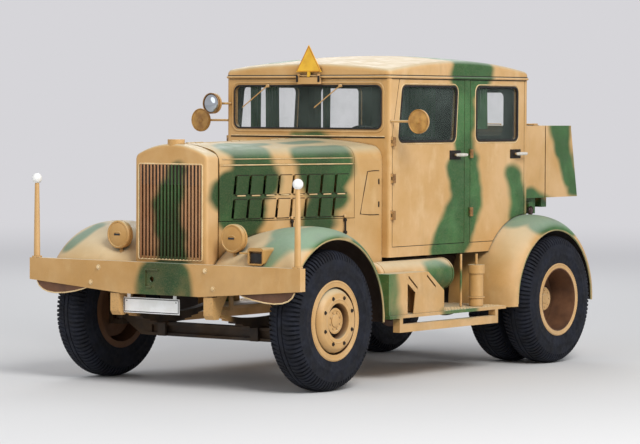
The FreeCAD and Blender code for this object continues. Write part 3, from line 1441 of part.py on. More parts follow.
def fender_section(inner_x, inner_radius, crown_x, crown_radius, lip_x, lip_radius):
    """The section of a fender as a face in the (x, radius) plane, rolled down to the lip and inwards."""
    wall = size("fender_wall")

    def rolled(drop):
        centre = FreeCAD.Vector(crown_x, 0, lip_radius)
        side = FreeCAD.Vector(lip_x - drop, 0, lip_radius)
        top = FreeCAD.Vector(crown_x, 0, crown_radius - drop)
        whole = Part.Ellipse(side, top, centre)
        return Part.ArcOfEllipse(whole, 0, math.pi / 2).toShape()

    edges = [
        inner_slope(inner_x, inner_radius, crown_x, crown_radius),
        rolled(0),
        Part.makeLine(FreeCAD.Vector(lip_x, 0, lip_radius), FreeCAD.Vector(lip_x - wall, 0, lip_radius)),
        rolled(wall),
        inner_slope(inner_x, inner_radius - wall, crown_x, crown_radius - wall),
        Part.makeLine(FreeCAD.Vector(inner_x, 0, inner_radius - wall),
                      FreeCAD.Vector(inner_x, 0, inner_radius)),
    ]
    return Part.Face(Part.Wire(Part.__sortEdges__(edges)))


def fender_core(inner_x, inner_radius, crown_x, crown_radius):
    """Everything under a fender's inner slope, grown by the seating gap, as a turn about the wheel's axis."""
    gap = size("seat_gap")
    edges = [
        inner_slope(inner_x, inner_radius + gap, crown_x, crown_radius + gap),
        Part.makeLine(FreeCAD.Vector(crown_x, 0, crown_radius + gap), FreeCAD.Vector(crown_x, 0, 0)),
        Part.makeLine(FreeCAD.Vector(crown_x, 0, 0), FreeCAD.Vector(inner_x, 0, 0)),
        Part.makeLine(FreeCAD.Vector(inner_x, 0, 0), FreeCAD.Vector(inner_x, 0, inner_radius + gap)),
    ]
    core = Part.Face(Part.Wire(edges)).revolve(FreeCAD.Vector(), FreeCAD.Vector(1, 0, 0), 360)
    core.translate(FreeCAD.Vector(0, 0, size("tyre_radius")))
    return fixed_shape(core)


def swept_fender(section, start, sweep, y, z):
    """Turn a section round the wheel's axis, from an angle above the front horizontal to the rear."""
    section = section.copy()
    origin = FreeCAD.Vector()
    section.rotate(origin, FreeCAD.Vector(1, 0, 0), 90 - start)
    shell = section.revolve(origin, FreeCAD.Vector(-1, 0, 0), sweep)
    shell.translate(FreeCAD.Vector(0, y, z))
    return shell


def fenders():
    radiator_edge = size("radiator_half") + size("seat_gap")
    section = fender_section(radiator_edge, size("front_inner_radius"), size("front_crown_x"),
                             size("front_crown_radius"),
                             size("front_lip_x"), size("front_lip_radius"))
    shell = swept_fender(section, size("front_fender_start_angle"), size("front_fender_sweep_angle"), 0,
                         size("tyre_radius"))
    plan = [
        ("0", "radiator_back + seat_gap"),
        ("hood_front_half + seat_gap", "radiator_back + seat_gap"),
        ("hood_back_half + seat_gap", "hood_back + hood_seam"),
        ("0", "hood_back + hood_seam"),
    ]
    body_side = prism("XY", plan, "0", "hood_front_top")
    notch = box("0", "fender_notch_front", "0", "fender_notch_x", "fender_notch_back - fender_notch_front",
                "fender_notch_high")
    clear = box("0", "-front_reach * 2", "0", "bumper_half", f"front_reach * 2 + {BUMPER_BACK} + seat_gap",
                "bumper_half")
    rails = box("0", "-front_reach", "0", f"{RAIL_OUTER} + seat_gap", "front_reach", f"{RAIL_HIGH} + seat_gap")
    finish(pair(cut(fixed_shape(shell), body_side, notch, clear, rails)), "front_fenders")
    rail_edge = size("rail_x") + size("rail_width") / 2 + size("seat_gap")
    section = fender_section(rail_edge, size("rear_inner_radius"), size("rear_crown_x"),
                             size("rear_crown_radius"),
                             size("rear_lip_x"), size("rear_lip_radius"))
    shell = swept_fender(section, size("rear_fender_start_angle"), size("rear_fender_sweep_angle"),
                         size("wheelbase"), size("tyre_radius"))
    finish(pair(fixed_shape(shell)), "rear_fenders")


def front_lamps():
    """Headlamps on stalks that stand on the fenders, and the hooded lamp beside the left one."""
    drum = rod("Y", "headlamp_x", "headlamp_y", "headlamp_z", "headlamp_radius",
               f"headlamp_depth * {HEADLAMP_DRUM_SHARE}")
    back = cone("Y", "headlamp_x", f"headlamp_y + headlamp_depth * {HEADLAMP_DRUM_SHARE}", "headlamp_z",
                "headlamp_radius",
                f"headlamp_radius * {HEADLAMP_TAIL_SHARE}", f"headlamp_depth * (1 - {HEADLAMP_DRUM_SHARE})")
    stalk_y = f"(headlamp_y + headlamp_depth * {HEADLAMP_STALK_SHARE})"
    stalk = rod("Z", "headlamp_x", stalk_y, "headlamp_z - headlamp_radius - stalk_length", "stalk_radius",
                "stalk_length + headlamp_radius / 2")
    core = fender_core(size("radiator_half") + size("seat_gap"), size("front_inner_radius"), size("front_crown_x"),
                       size("front_crown_radius"))
    headlamp = joined(drum, back, cut(stalk, core))
    hooded = box("blackout_right", "blackout_y", "blackout_low", "blackout_left - blackout_right",
                 "blackout_depth", "blackout_high - blackout_low")
    hooded = rounded(hooded, "blackout_corner", along("Y"))
    mouth = box("blackout_right + blackout_wall", "blackout_y - overrun", "blackout_low + blackout_wall",
                "blackout_left - blackout_right - blackout_wall * 2", "blackout_wall * 2 + overrun",
                "blackout_high - blackout_low - blackout_wall * 3")
    arm = box("blackout_right - blackout_arm", "blackout_y + blackout_wall * 2",
              "blackout_high - blackout_wall * 4",
              "blackout_arm + blackout_wall", "blackout_depth", "blackout_wall")
    knob = ball("blackout_right - blackout_arm", "blackout_y + blackout_wall * 3",
                "blackout_high - blackout_wall * 5", f"blackout_wall * {KNOB_SHARE}")
    hooded_lamp = cut(joined(cut(hooded, mouth), arm, knob), core)
    finish(grouped(headlamp, mirrored(headlamp), hooded_lamp), "front_lamps")


def cab_fittings():
    """Round mirrors on arms, the search lamp, the two wipers and the bracket of the towing sign."""
    arm_y = "(cab_front + mirror_arm_radius * 2)"
    arm = rod("X", "cab_half + seat_gap", arm_y, "mirror_z", "mirror_arm_radius",
              "mirror_x - cab_half - seat_gap")
    disc = rod("Y", "mirror_x", f"{arm_y} - mirror_arm_radius / 2 - mirror_depth", "mirror_z",
               "mirror_radius", "mirror_depth")
    mirror = joined(arm, disc)
    lamp = rod("Y", "search_x", "search_y", "search_z", "search_radius",
               f"search_depth * {SEARCH_DRUM_SHARE}")
    bowl = cone("Y", "search_x", f"search_y + search_depth * {SEARCH_DRUM_SHARE}", "search_z", "search_radius",
                f"search_radius * {SEARCH_TAIL_SHARE}", f"search_depth * (1 - {SEARCH_DRUM_SHARE})")
    reach = rod("X", "search_x", "search_y + search_depth / 2", "search_z", "mirror_arm_radius", "search_arm")
    bar = rod("Y", "search_x + search_arm", "search_y + search_depth / 2", "search_z",
              "mirror_arm_radius", "cab_front - seat_gap - search_y - search_depth / 2")
    knee = ball("search_x + search_arm", "search_y + search_depth / 2", "search_z", "mirror_arm_radius")
    search = joined(lamp, bowl, reach, knee, bar)
    wipers = []
    for x in ("-wiper_right_x", "wiper_left_x"):
        boss = rod("Y", x, "cab_front - wiper_reach", "wiper_z", "wiper_radius * 3",
                   "wiper_reach - seat_gap")
        blade = prism("XZ", [
            (x, "wiper_z + wiper_radius"),
            (f"{x} - wiper_blade", "wiper_z - wiper_drop + wiper_radius"),
            (f"{x} - wiper_blade", "wiper_z - wiper_drop - wiper_radius"),
            (x, "wiper_z - wiper_radius"),
        ], "cab_front - wiper_reach", "wiper_radius * 2")
        wipers.append(joined(boss, blade))
    bracket = box("sign_right + sign_inset", "sign_y", "sign_bracket_low",
                  "sign_left - sign_right - sign_inset * 2", "cab_front - sign_y - seat_gap",
                  "cab_top - sign_bracket_low - seat_gap")
    ears = [box(x, "sign_y", "sign_bracket_low", "sign_inset / 2", "sign_ear", "sign_ear_high - sign_bracket_low")
            for x in ("sign_right + sign_inset", "sign_left - sign_inset * 3 / 2")]
    pivot = rod("X", "sign_right + sign_inset", "sign_y + sign_ear / 2", "sign_pivot_z", "wiper_radius",
                "sign_left - sign_right - sign_inset * 2")
    finish(grouped(mirror, mirrored(mirror), search, *wipers, joined(bracket, *ears, pivot)), "cab_fittings")


def tow_sign():
    """The plain triangular sign, which folds forwards on its pivot."""
    middle = "((sign_left + sign_right) / 2)"
    plate = prism("XZ", [
        ("sign_right", "sign_low"),
        ("sign_left", "sign_low"),
        (middle, "sign_high"),
    ], "sign_y + sign_ear / 2 - sign_thickness / 2", "sign_thickness")
    lug = box(f"{middle} - sign_inset / 2", "sign_y + sign_ear / 2 - sign_thickness",
              "sign_pivot_z - sign_thickness", "sign_inset", "sign_thickness * 2",
              "sign_low - sign_pivot_z + sign_thickness * 3 / 2")
    bore = rod("X", f"{middle} - sign_inset", "sign_y + sign_ear / 2", "sign_pivot_z", "wiper_radius + play",
               "sign_inset * 2")
    finish(cut(joined(plate, lug), bore), "tow_sign")


def toe_box():
    """The slant-cornered box at the front of a running board, with its dark side opening and two long slots."""
    low = "(board_low + board_thickness + seat_gap)"
    start = "toe_box_x - toe_box_depth"
    body = prism("YZ", [
        ("toe_box_front", low),
        ("toe_box_front", "toe_box_high"),
        ("toe_box_bend", "toe_box_high"),
        ("toe_box_back", "toe_box_ledge"),
        ("toe_box_back", low),
    ], start, "toe_box_depth")
    hollow = prism("YZ", [
        ("toe_box_front + toe_box_wall", "board_low"),
        ("toe_box_front + toe_box_wall", "toe_box_high - toe_box_wall"),
        ("toe_box_bend - toe_box_wall", "toe_box_high - toe_box_wall"),
        ("toe_box_back - toe_box_wall", "toe_box_ledge - toe_box_wall"),
        ("toe_box_back - toe_box_wall", "board_low"),
    ], f"{start} + toe_box_wall", "toe_box_depth - toe_box_wall * 2")
    opening = prism("YZ", [
        ("toe_box_post", f"{low} - overrun"),
        ("toe_box_post", "toe_box_high - toe_box_slope / 2"),
        (f"toe_box_post + toe_box_slope * {LEDGE_SHARE}", "toe_box_ledge"),
        ("toe_box_post + toe_box_slope / 2", f"{low} - overrun"),
    ], "toe_box_x - overrun", "overrun * 2")
    tools = [hollow, opening]
    fall = f"toe_box_slope * {SLOT_DROP_SHARE}"
    for y in ("toe_box_post + toe_box_wall * 2", "toe_box_bend - toe_box_wall * 3"):
        tools.append(prism("YZ", [
            (y, "toe_box_high - toe_box_wall * 3"),
            (f"{y} + toe_box_slope * {SLOT_RUN_SHARE}", f"toe_box_high - toe_box_wall * 3 - {fall}"),
            (f"{y} + toe_box_slope * {SLOT_RUN_SHARE}", f"toe_box_high - toe_box_wall * 6 - {fall}"),
            (y, "toe_box_high - toe_box_wall * 6"),
        ], "toe_box_x - overrun", "overrun * 2"))
    return cut(body, *tools)


JACK_Y = "(wheelbase - jack_stop)"
BOARD_BACK = "(wheelbase - board_stop)"
STEP_BACK = "(wheelbase - step_stop)"
TANK_BACK = "(wheelbase - tank_stop)"


def jack():
    """The jack on the left board: a barrel with a wide cap and a clamp band, and the two rods beside it."""
    low = "(board_low + board_thickness + seat_gap)"
    barrel = rod("Z", "jack_x", JACK_Y, low, "jack_radius", f"jack_high - {low}")
    cap = rod("Z", "jack_x", JACK_Y, "jack_high - jack_cap", "jack_radius + jack_band", "jack_cap")
    band = rod("Z", "jack_x", JACK_Y, f"{low} + jack_cap", "jack_radius + jack_band", "jack_band")
    screw = rod("Z", "jack_x", JACK_Y, "jack_high - jack_cap", "jack_band",
                "cab_low - jack_high + jack_cap - seat_gap")
    lever = rod("Z", "jack_x - jack_radius", f"wheelbase - jack_stop - jack_radius * {LEVER_PLACE_SHARE}", low,
                f"jack_band * {LEVER_RADIUS_SHARE}",
                f"cab_low - {low} - seat_gap")
    return grouped(joined(barrel, cap, band, screw), lever)


def side_gear():
    """Running boards with their lower steps, toe boxes, the air tank and the jack."""
    board = box("board_inner", "board_front", "board_low", "board_x - board_inner",
                f"{BOARD_BACK} - board_front", "board_thickness")
    bracket_ys = ("board_front + overrun * 2", f"(board_front + {BOARD_BACK}) / 2", f"{BOARD_BACK} - overrun * 4")
    brackets = [box(f"{RAIL_OUTER} + seat_gap", y, "board_low", f"board_inner - {RAIL_OUTER} + overrun",
                    "overrun * 2", "board_thickness") for y in bracket_ys]
    posts = [box(f"{RAIL_OUTER} + seat_gap", y, "board_low", "rail_wall * 2", "overrun * 2",
                 "rail_low + rail_height / 2 - board_low") for y in bracket_ys]
    step = box("board_x - step_width", "step_front", "step_low", "step_width", f"{STEP_BACK} - step_front",
               "step_thickness")
    hangers = [box("board_x - step_width", y, "step_low", "step_width", "overrun * 2",
                   "board_low - step_low + seat_gap")
               for y in ("step_front", f"{STEP_BACK} - overrun * 2")]
    finish(pair(joined(board, *brackets, *posts, step, *hangers)), "running_boards")
    finish(pair(toe_box()), "toe_boxes")
    tank = rod("Y", "tank_x", "tank_front", "tank_z", "tank_radius", f"{TANK_BACK} - tank_front")
    tank = rounded(tank, "tank_edge", lambda edge: edge.BoundBox.YLength < size("seat_gap"))
    seams = [rod("Y", "tank_x", y, "tank_z", "tank_radius + tank_band", "tank_band * 3")
             for y in ("tank_front + tank_edge", f"{TANK_BACK} - tank_edge - tank_band * 3")]
    tank = joined(tank, *seams)
    saddles = [box("tank_x - tank_radius / 2", y, "board_low + board_thickness + seat_gap", "tank_radius",
                   "overrun * 2", "tank_z - board_low - board_thickness")
               for y in ("tank_front + overrun * 4", f"{TANK_BACK} - overrun * 6")]
    finish(pair(joined(tank, *saddles)), "side_tanks")
    finish(jack(), "jack")


# The locker's front part takes this share of its length
LOCKER_FRONT_SHARE = 0.376
REAR_POST_Y = f"(locker_front + ({RAIL_REAR} - locker_front) * {REAR_POST_SHARE})"
LOCKER_SPLIT = f"(locker_front + (rear_reach - locker_front) * {LOCKER_FRONT_SHARE})"


def locker():
    """The two-part locker behind the cab on its support, with a hinged top lid."""
    first = box("-locker_half", "locker_front", "locker_low", "locker_half * 2",
                f"{LOCKER_SPLIT} - locker_front", "locker_high - locker_low")
    slant = [
        (f"{LOCKER_SPLIT} + locker_gap", "locker_low"),
        (f"{LOCKER_SPLIT} + locker_gap", "locker_high - locker_lid - seat_gap"),
        ("rear_reach - locker_slant", "locker_high - locker_lid - seat_gap"),
        ("rear_reach", "locker_low"),
    ]
    hollow = [
        (f"{LOCKER_SPLIT} + locker_gap + locker_wall", "locker_low + locker_wall"),
        (f"{LOCKER_SPLIT} + locker_gap + locker_wall", "locker_high + locker_wall"),
        ("rear_reach - locker_slant - locker_wall * 2", "locker_high + locker_wall"),
        ("rear_reach - locker_wall * 2", "locker_low + locker_wall"),
    ]
    second = cut(prism("YZ", slant, "-locker_half", "locker_half * 2"),
                 prism("YZ", hollow, "-locker_half + locker_wall", "(locker_half - locker_wall) * 2"))
    link = box("-locker_half / 2", f"{LOCKER_SPLIT} - locker_wall", "locker_low", "locker_half",
               "locker_gap + locker_wall * 2", "locker_wall * 4")
    hinge_y = f"({LOCKER_SPLIT} + locker_gap / 2)"
    hinge_z = "(locker_high + lid_hinge_radius)"
    barrels = []
    lugs = []
    starts = ("-locker_half + lid_hinge_length", "-lid_hinge_length / 2", "locker_half - lid_hinge_length * 2")
    for start in starts:
        barrels += [rod("X", start, hinge_y, hinge_z, "lid_hinge_radius", "lid_hinge_length"),
                    box(start, hinge_y, "locker_high - seat_gap", "lid_hinge_length", "lid_hinge_length / 2",
                        "lid_hinge_radius / 2")]
        lug = "lid_hinge_radius * 1.5"
        for x in (f"{start} - {lug} - seat_gap", f"{start} + lid_hinge_length + seat_gap"):
            lugs.append(box(x, f"{LOCKER_SPLIT} - lid_hinge_length / 2", "locker_high - seat_gap", lug,
                            "lid_hinge_length / 2 + locker_gap / 2 + lid_hinge_radius / 2",
                            "lid_hinge_radius * 2"))
        lugs.append(rod("X", f"{start} - {lug}", hinge_y, hinge_z, "lid_hinge_radius / 2",
                        f"lid_hinge_length + {lug} * 2"))
    bore = rod("X", "-locker_half", hinge_y, hinge_z, "lid_hinge_radius / 2 + play", "locker_half * 2")
    finish(joined(first, second, link, *lugs), "locker")
    lid = box("-locker_half", f"{LOCKER_SPLIT} + locker_gap", "locker_high - locker_lid", "locker_half * 2",
              f"rear_reach - locker_slant - {LOCKER_SPLIT} - locker_gap", "locker_lid")
    handle = rod("X", "-lid_hinge_length", "rear_reach - locker_slant - lid_hinge_length / 2",
                 "locker_high + lid_hinge_radius", "lid_hinge_radius / 2", "lid_hinge_length * 2")
    feet = [box(x, "rear_reach - locker_slant - lid_hinge_length / 2 - lid_hinge_radius / 2",
                "locker_high - seat_gap", "lid_hinge_radius", "lid_hinge_radius", "lid_hinge_radius + seat_gap")
            for x in ("-lid_hinge_length", "lid_hinge_length - lid_hinge_radius")]
    finish(cut(joined(lid, *barrels, handle, *feet), bore), "locker_lid")
    posts = []
    for y in ("locker_front + support_width / 2", REAR_POST_Y):
        posts.append(box(RAIL_INNER, y, f"{RAIL_HIGH} + seat_gap", "rail_width", "support_width",
                         f"locker_low - {RAIL_HIGH} - seat_gap * 2"))
        posts.append(mirrored(posts[-1]))
        posts.append(box(f"-locker_half * {BEARER_SHARE}", y, "locker_low - support_width",
                         f"locker_half * {BEARER_SHARE} * 2",
                         "support_width", "support_width - seat_gap"))
    lamp_plate = box(f"locker_half * {BEARER_SHARE} + seat_gap", "lamp_plate_front", "support_low",
                     "rail_wall * 2",
                     "lamp_plate_back - lamp_plate_front", "locker_low - support_low - seat_gap")
    tail_lamp = rod("X", f"locker_half * {BEARER_SHARE} + seat_gap", "(lamp_plate_front + lamp_plate_back) / 2",
                    "(support_low + locker_low) / 2", "tail_lamp_radius", f"tail_lamp_radius * {TAIL_LAMP_SHARE}")
    rear_lamp = joined(lamp_plate, tail_lamp)
    finish(grouped(joined(*posts), rear_lamp, mirrored(rear_lamp)), "locker_support")


def tow_hitch():
    """A towing jaw on the rear end beam with a vertical pin hole."""
    z = "(rail_low + rail_height / 2)"
    block = box("-tow_jaw_width / 2", f"{RAIL_REAR} + seat_gap", f"{z} - tow_jaw_gap / 2 - tow_jaw_wall",
                "tow_jaw_width", "rail_inset - overrun", "tow_jaw_gap + tow_jaw_wall * 2")
    mouth = box("-tow_jaw_width", "rear_reach - tow_jaw_reach - overrun", f"{z} - tow_jaw_gap / 2",
                "tow_jaw_width * 2", "tow_jaw_reach + overrun", "tow_jaw_gap")
    hole = rod("Z", "0", "rear_reach - tow_jaw_reach / 2 - overrun", f"{z} - tow_jaw_gap * 2",
               "tow_pin_radius", "tow_jaw_gap * 4")
    flange = box("-tow_jaw_width", f"{RAIL_REAR} + seat_gap", "rail_low + rail_wall", "tow_jaw_width * 2",
                 "tow_jaw_wall", "rail_height - rail_wall * 2")
    finish(joined(cut(block, mouth, hole), flange), "tow_hitch")


for side in ("left", "right"):
    front_wheel(side)
    rear_wheel(side)
    knuckle(side)
frame()
leaf_springs()
axles()
tie_rod()
drag_link()
drop_arm()
steering_box()
drive()
exhaust()
bumper()
width_poles()
number_plate()
radiator()
hood()
cab_body()
cab_roof()
cab_floor()
glass()
doors()
steering_wheel(interior())
fenders()
front_lamps()
cab_fittings()
tow_sign()
side_gear()
locker()
tow_hitch()

document.recompute()
for item in document.Objects:
    for state in item.State:
        if state in ("Invalid", "Error"):
            raise RuntimeError(f"{item.Name} ({item.Label}) did not build: {item.State}")
for item in FINISHED:
    if item.Shape.isNull() or not item.Shape.isValid():
        raise RuntimeError(f"{item.Label} has no valid shape")

os.makedirs("parts", exist_ok=True)
for item in FINISHED:
    item.Shape.exportStep(f"parts/{item.Label}.step")
print(f"{len(FINISHED)} sub-parts written")
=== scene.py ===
"""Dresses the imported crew-cab road tractor: paint, tyres, fittings, cloth, light and camera."""
from math import cos, pi, radians, sin, tan

import bmesh
import bpy
from mathutils import Matrix, Vector


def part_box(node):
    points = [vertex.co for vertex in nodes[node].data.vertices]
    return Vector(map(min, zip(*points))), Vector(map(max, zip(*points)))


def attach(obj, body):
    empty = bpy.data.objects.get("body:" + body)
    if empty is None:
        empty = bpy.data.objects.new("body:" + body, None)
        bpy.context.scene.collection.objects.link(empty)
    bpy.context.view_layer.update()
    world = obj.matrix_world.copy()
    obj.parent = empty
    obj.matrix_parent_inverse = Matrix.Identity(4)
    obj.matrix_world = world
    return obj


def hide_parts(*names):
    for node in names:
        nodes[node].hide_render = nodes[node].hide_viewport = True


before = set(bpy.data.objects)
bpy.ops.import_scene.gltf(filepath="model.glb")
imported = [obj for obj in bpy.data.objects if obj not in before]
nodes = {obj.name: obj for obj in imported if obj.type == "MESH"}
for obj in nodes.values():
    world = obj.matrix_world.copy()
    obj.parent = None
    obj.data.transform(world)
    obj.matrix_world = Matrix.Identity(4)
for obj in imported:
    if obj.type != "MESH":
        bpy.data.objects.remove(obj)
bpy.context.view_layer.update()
SIDES = (("left", 1), ("right", -1))
UP, AHEAD, BEHIND, LEFT = (0, 0, 1), (0, -1, 0), (0, 1, 0), (1, 0, 0)
FRONT_AXLE_Y = -1.6445
REAR_AXLE_Y = 1.4155
TYRE_RADIUS = 0.505

# ---- colours


def screen(red, green, blue):
    """A linear colour from the 0 to 255 values that a screen shows."""
    shares = [value / 255 for value in (red, green, blue)]
    return (*[s / 12.92 if s <= 0.04045 else ((s + 0.055) / 1.055) ** 2.4 for s in shares], 1.0)


TANS = (screen(204, 160, 100), screen(220, 180, 128), screen(234, 204, 160))
# Darker tans for the grille's narrow bars: painted shade
SHADED_BAR_TANS = (screen(168, 118, 84), screen(196, 150, 112), screen(214, 172, 140))
GREENS = (screen(40, 88, 42), screen(62, 114, 62))
DARK_GREENS = (screen(26, 68, 28), screen(44, 92, 46))
# Brown for grime streaks, and for the painted shade where surfaces meet
GRIME_AND_CREVICE_SHADE = screen(70, 44, 20)
DUST = screen(180, 148, 104)
SHADE = screen(24, 20, 18)
# Painted highlight for the faces that look up
UPWARD_HIGHLIGHT = screen(206, 222, 206)
BACKDROP = screen(214, 213, 217)
WHITE = (1.0, 1.0, 1.0, 1.0)
HOOD_TONE = (0.88, 0.88, 0.84, 1.0)
# Painted shade: what is left of the light on the faces that look ahead
AHEAD_FACE_SHADE = (0.86, 0.8, 0.66, 1.0)


class Graph:
    """The node tree of a material or of the world, with short ways to add nodes and link them."""

    def __init__(self, name, world=False):
        self.owner = (bpy.data.worlds if world else bpy.data.materials).new(name)
        self.owner.use_nodes = True
        self.tree = self.owner.node_tree
        self.shader = self.tree.nodes["Background" if world else "Principled BSDF"]
        self.output = self.tree.nodes["World Output" if world else "Material Output"]

    def put(self, socket, value):
        """Links one socket to another, or gives it a constant."""
        if isinstance(value, bpy.types.NodeSocket):
            self.tree.links.new(value, socket)
        else:
            socket.default_value = value

    def node(self, kind, values=None, **settings):
        made = self.tree.nodes.new("ShaderNode" + kind)
        for key, value in settings.items():
            setattr(made, key, value)
        for key, value in (values or {}).items():
            self.put(made.inputs[key], value)
        return made

    def math(self, operation, first, second=0.0, clamp=False):
        return self.node("Math", {0: first, 1: second}, operation=operation, use_clamp=clamp).outputs[0]

    def vector(self, operation, first, second=(0, 0, 0)):
        made = self.node("VectorMath", {0: first, 1: second}, operation=operation)
        return made.outputs["Value" if operation in ("LENGTH", "DOT_PRODUCT") else "Vector"]

    def place(self):
        return self.node("TexCoord").outputs["Object"]

    def normal(self):
        return self.node("NewGeometry").outputs["Normal"]

    def split(self, vector):
        return self.node("SeparateXYZ", {0: vector}).outputs

    def noise(self, scale, detail=3.0, stretch=(1, 1, 1)):
        point = self.vector("MULTIPLY", self.place(), stretch)
        values = {"Vector": point, "Scale": scale, "Detail": detail, "Roughness": 0.55}
        return self.node("TexNoise", values).outputs["Fac"]

    def ramp(self, factor, low, high, reach=(0.0, 1.0)):
        values = {"Value": factor, "From Min": low, "From Max": high, "To Min": reach[0], "To Max": reach[1]}
        return self.node("MapRange", values, interpolation_type="SMOOTHSTEP").outputs["Result"]

    def mix(self, factor, first, second, blend="MIX"):
        values = {"Factor": factor, 6: first, 7: second}
        return self.node("Mix", values, data_type="RGBA", blend_type=blend).outputs[2]

    def set(self, **values):
        for key, value in values.items():
            self.put(self.shader.inputs[key.replace("_", " ")], value)

    def rough(self, scale, low, high):
        self.set(Roughness=self.ramp(self.noise(scale, 3), 0.3, 0.7, (low, high)))

    def bump(self, height, strength, distance):
        made = self.node("Bump", {"Height": height, "Strength": strength, "Distance": distance})
        self.tree.links.new(made.outputs["Normal"], self.shader.inputs["Normal"])

    def show(self, factor, other):
        """Shows another shader over the tree's own where a factor is 1."""
        both = self.node("MixShader", {"Fac": factor, 1: self.shader.outputs[0], 2: other.outputs[0]})
        self.tree.links.new(both.outputs[0], self.output.inputs["Surface"])


# ---- paint

# The pattern is measured in lengths as they look from the front left corner
PATCH_SCALE = Vector((0.8, 0.6, 1.0))
PATCH_SOFT, PATCH_JOIN, PATCH_WANDER = 0.026, 0.05, 0.09

# Green patches: one end, the other end, radius
HOOD_PATCHES = (
    (0.24, -1.74, 1.76, 0.26, -1.4, 1.755, 0.05), (0.3, -1.72, 1.73, 0.36, -1.685, 1.568, 0.131),
    (0.4, -1.866, 1.442, 0.4, -1.66, 1.475, 0.135), (0.42, -1.868, 1.356, 0.42, -1.832, 1.24, 0.146),
    (0.45, -1.789, 1.197, 0.45, -1.752, 1.037, 0.069), (0.3, -1.12, 1.77, 0.3, -0.8, 1.77, 0.06),
    (0.55, -1.199, 1.695, 0.55, -0.9, 1.662, 0.105), (0.58, -1.14, 1.563, 0.58, -0.939, 1.545, 0.132),
    (0.6, -1.079, 1.452, 0.6, -1.016, 1.377, 0.125), (0.6, -1.116, 1.269, 0.6, -1.115, 1.152, 0.108),
    (-0.3, -1.35, 1.76, -0.55, -1.28, 1.4, 0.14), (-0.6, -1.2, 1.33, -0.62, -0.92, 1.05, 0.12),
    (-0.36, -1.9, 1.5, -0.4, -1.75, 1.02, 0.09),
)
SHELL_CORNER = (0.36, -2.03, 1.44, 0.36, -2.0, 1.34, 0.06)
FRONT_PATCHES = (
    (0.064, -2.14, 1.57, 0.036, -2.14, 1.487, 0.055), (0.015, -2.14, 1.43, -0.02, -2.14, 1.31, 0.085),
    (-0.02, -2.14, 1.31, 0.011, -2.14, 1.131, 0.1), (0.011, -2.14, 1.131, 0.033, -2.14, 0.952, 0.1),
    SHELL_CORNER,
    (0.02, -2.256, 0.883, 0.03, -2.256, 0.79, 0.095), (0.035, -2.256, 0.764, 0.05, -2.256, 0.684, 0.205),
)
FENDER_PATCHES = (
    (0.86, -2.25, 0.985, 0.9, -1.92, 1.11, 0.1), (1.02, -1.9, 1.09, 1.0, -1.53, 1.13, 0.105),
    (0.8, -1.95, 1.15, 0.72, -1.55, 1.16, 0.09), (1.09, -1.37, 1.06, 1.09, -1.17, 0.95, 0.055),
    (1.09, -1.13, 0.9, 1.07, -1.02, 0.6, 0.07), (-1.0, -2.084, 1.012, -0.92, -1.86, 1.134, 0.06),
    (-1.02, -1.45, 1.12, -1.02, -1.15, 0.95, 0.08),
)
CAB_PATCHES = (
    (0.8, 0.508, 2.222, 0.8, 0.513, 1.697, 0.088), (0.8, 0.505, 1.581, 0.8, 0.56, 1.309, 0.136),
    (0.8, 0.476, 1.217, 0.8, 0.449, 1.118, 0.146), (0.8, 0.394, 1.042, 0.8, 0.311, 0.914, 0.154),
    (0.8, 1.235, 1.5, 0.8, 1.32, 1.17, 0.076), (-0.1, -0.495, 1.795, 0.183, -0.495, 1.79, 0.044),
    (0.77, 0.61, 2.28, 0.4, 0.7, 2.4, 0.185), (0.4, 0.7, 2.4, -0.3, 0.95, 2.42, 0.15),
    (-0.8, -0.3, 1.62, -0.8, -0.05, 1.0, 0.12), (-0.8, 0.7, 2.2, -0.8, 0.62, 1.45, 0.1),
    (-0.8, 1.05, 1.4, -0.8, 1.25, 1.05, 0.11), (-0.35, 1.45, 1.7, 0.1, 1.45, 1.25, 0.13),
    (-0.77, -0.1, 2.28, -0.35, -0.2, 2.4, 0.09),
)
REAR_PATCHES = (
    (0.74, 1.98, 1.9, 0.74, 2.047, 1.681, 0.085), (0.74, 2.095, 1.599, 0.74, 2.16, 1.434, 0.077),
    (0.74, 2.208, 1.351, 0.3, 2.25, 1.4, 0.06), (0.6, 2.25, 1.62, 0.4, 2.25, 1.85, 0.12),
    (-0.45, 2.25, 1.4, -0.7, 2.25, 1.6, 0.13), (-0.74, 1.7, 1.5, -0.74, 1.95, 1.4, 0.09),
    (-0.2, 1.8, 1.89, -0.45, 2.05, 1.89, 0.1), (0.7, 1.5, 1.22, 0.7, 1.9, 1.08, 0.17),
    (0.85, 1.22, 1.15, 0.88, 1.5, 1.195, 0.105), (0.9, 1.5, 1.195, 0.92, 1.86, 1.07, 0.095),
    (1.03, 1.26, 1.09, 1.03, 1.68, 1.07, 0.085), (-0.95, 1.05, 1.05, -0.95, 1.45, 1.16, 0.09),
    (-0.95, 1.95, 0.95, -0.95, 2.05, 0.7, 0.07),
)
BOARD_PATCHES = (
    (1.05, -0.129, 0.486, 1.05, 0.187, 0.484, 0.05), (0.85, -0.02, 0.76, 0.89, 0.2, 0.7, 0.105),
    (1.0, -0.9, 0.796, 1.0, -0.84, 0.5, 0.08), (-1.0, -0.55, 0.75, -1.0, -0.35, 0.52, 0.1),
    (-0.85, -0.05, 0.8, -0.89, 0.1, 0.66, 0.09),
)


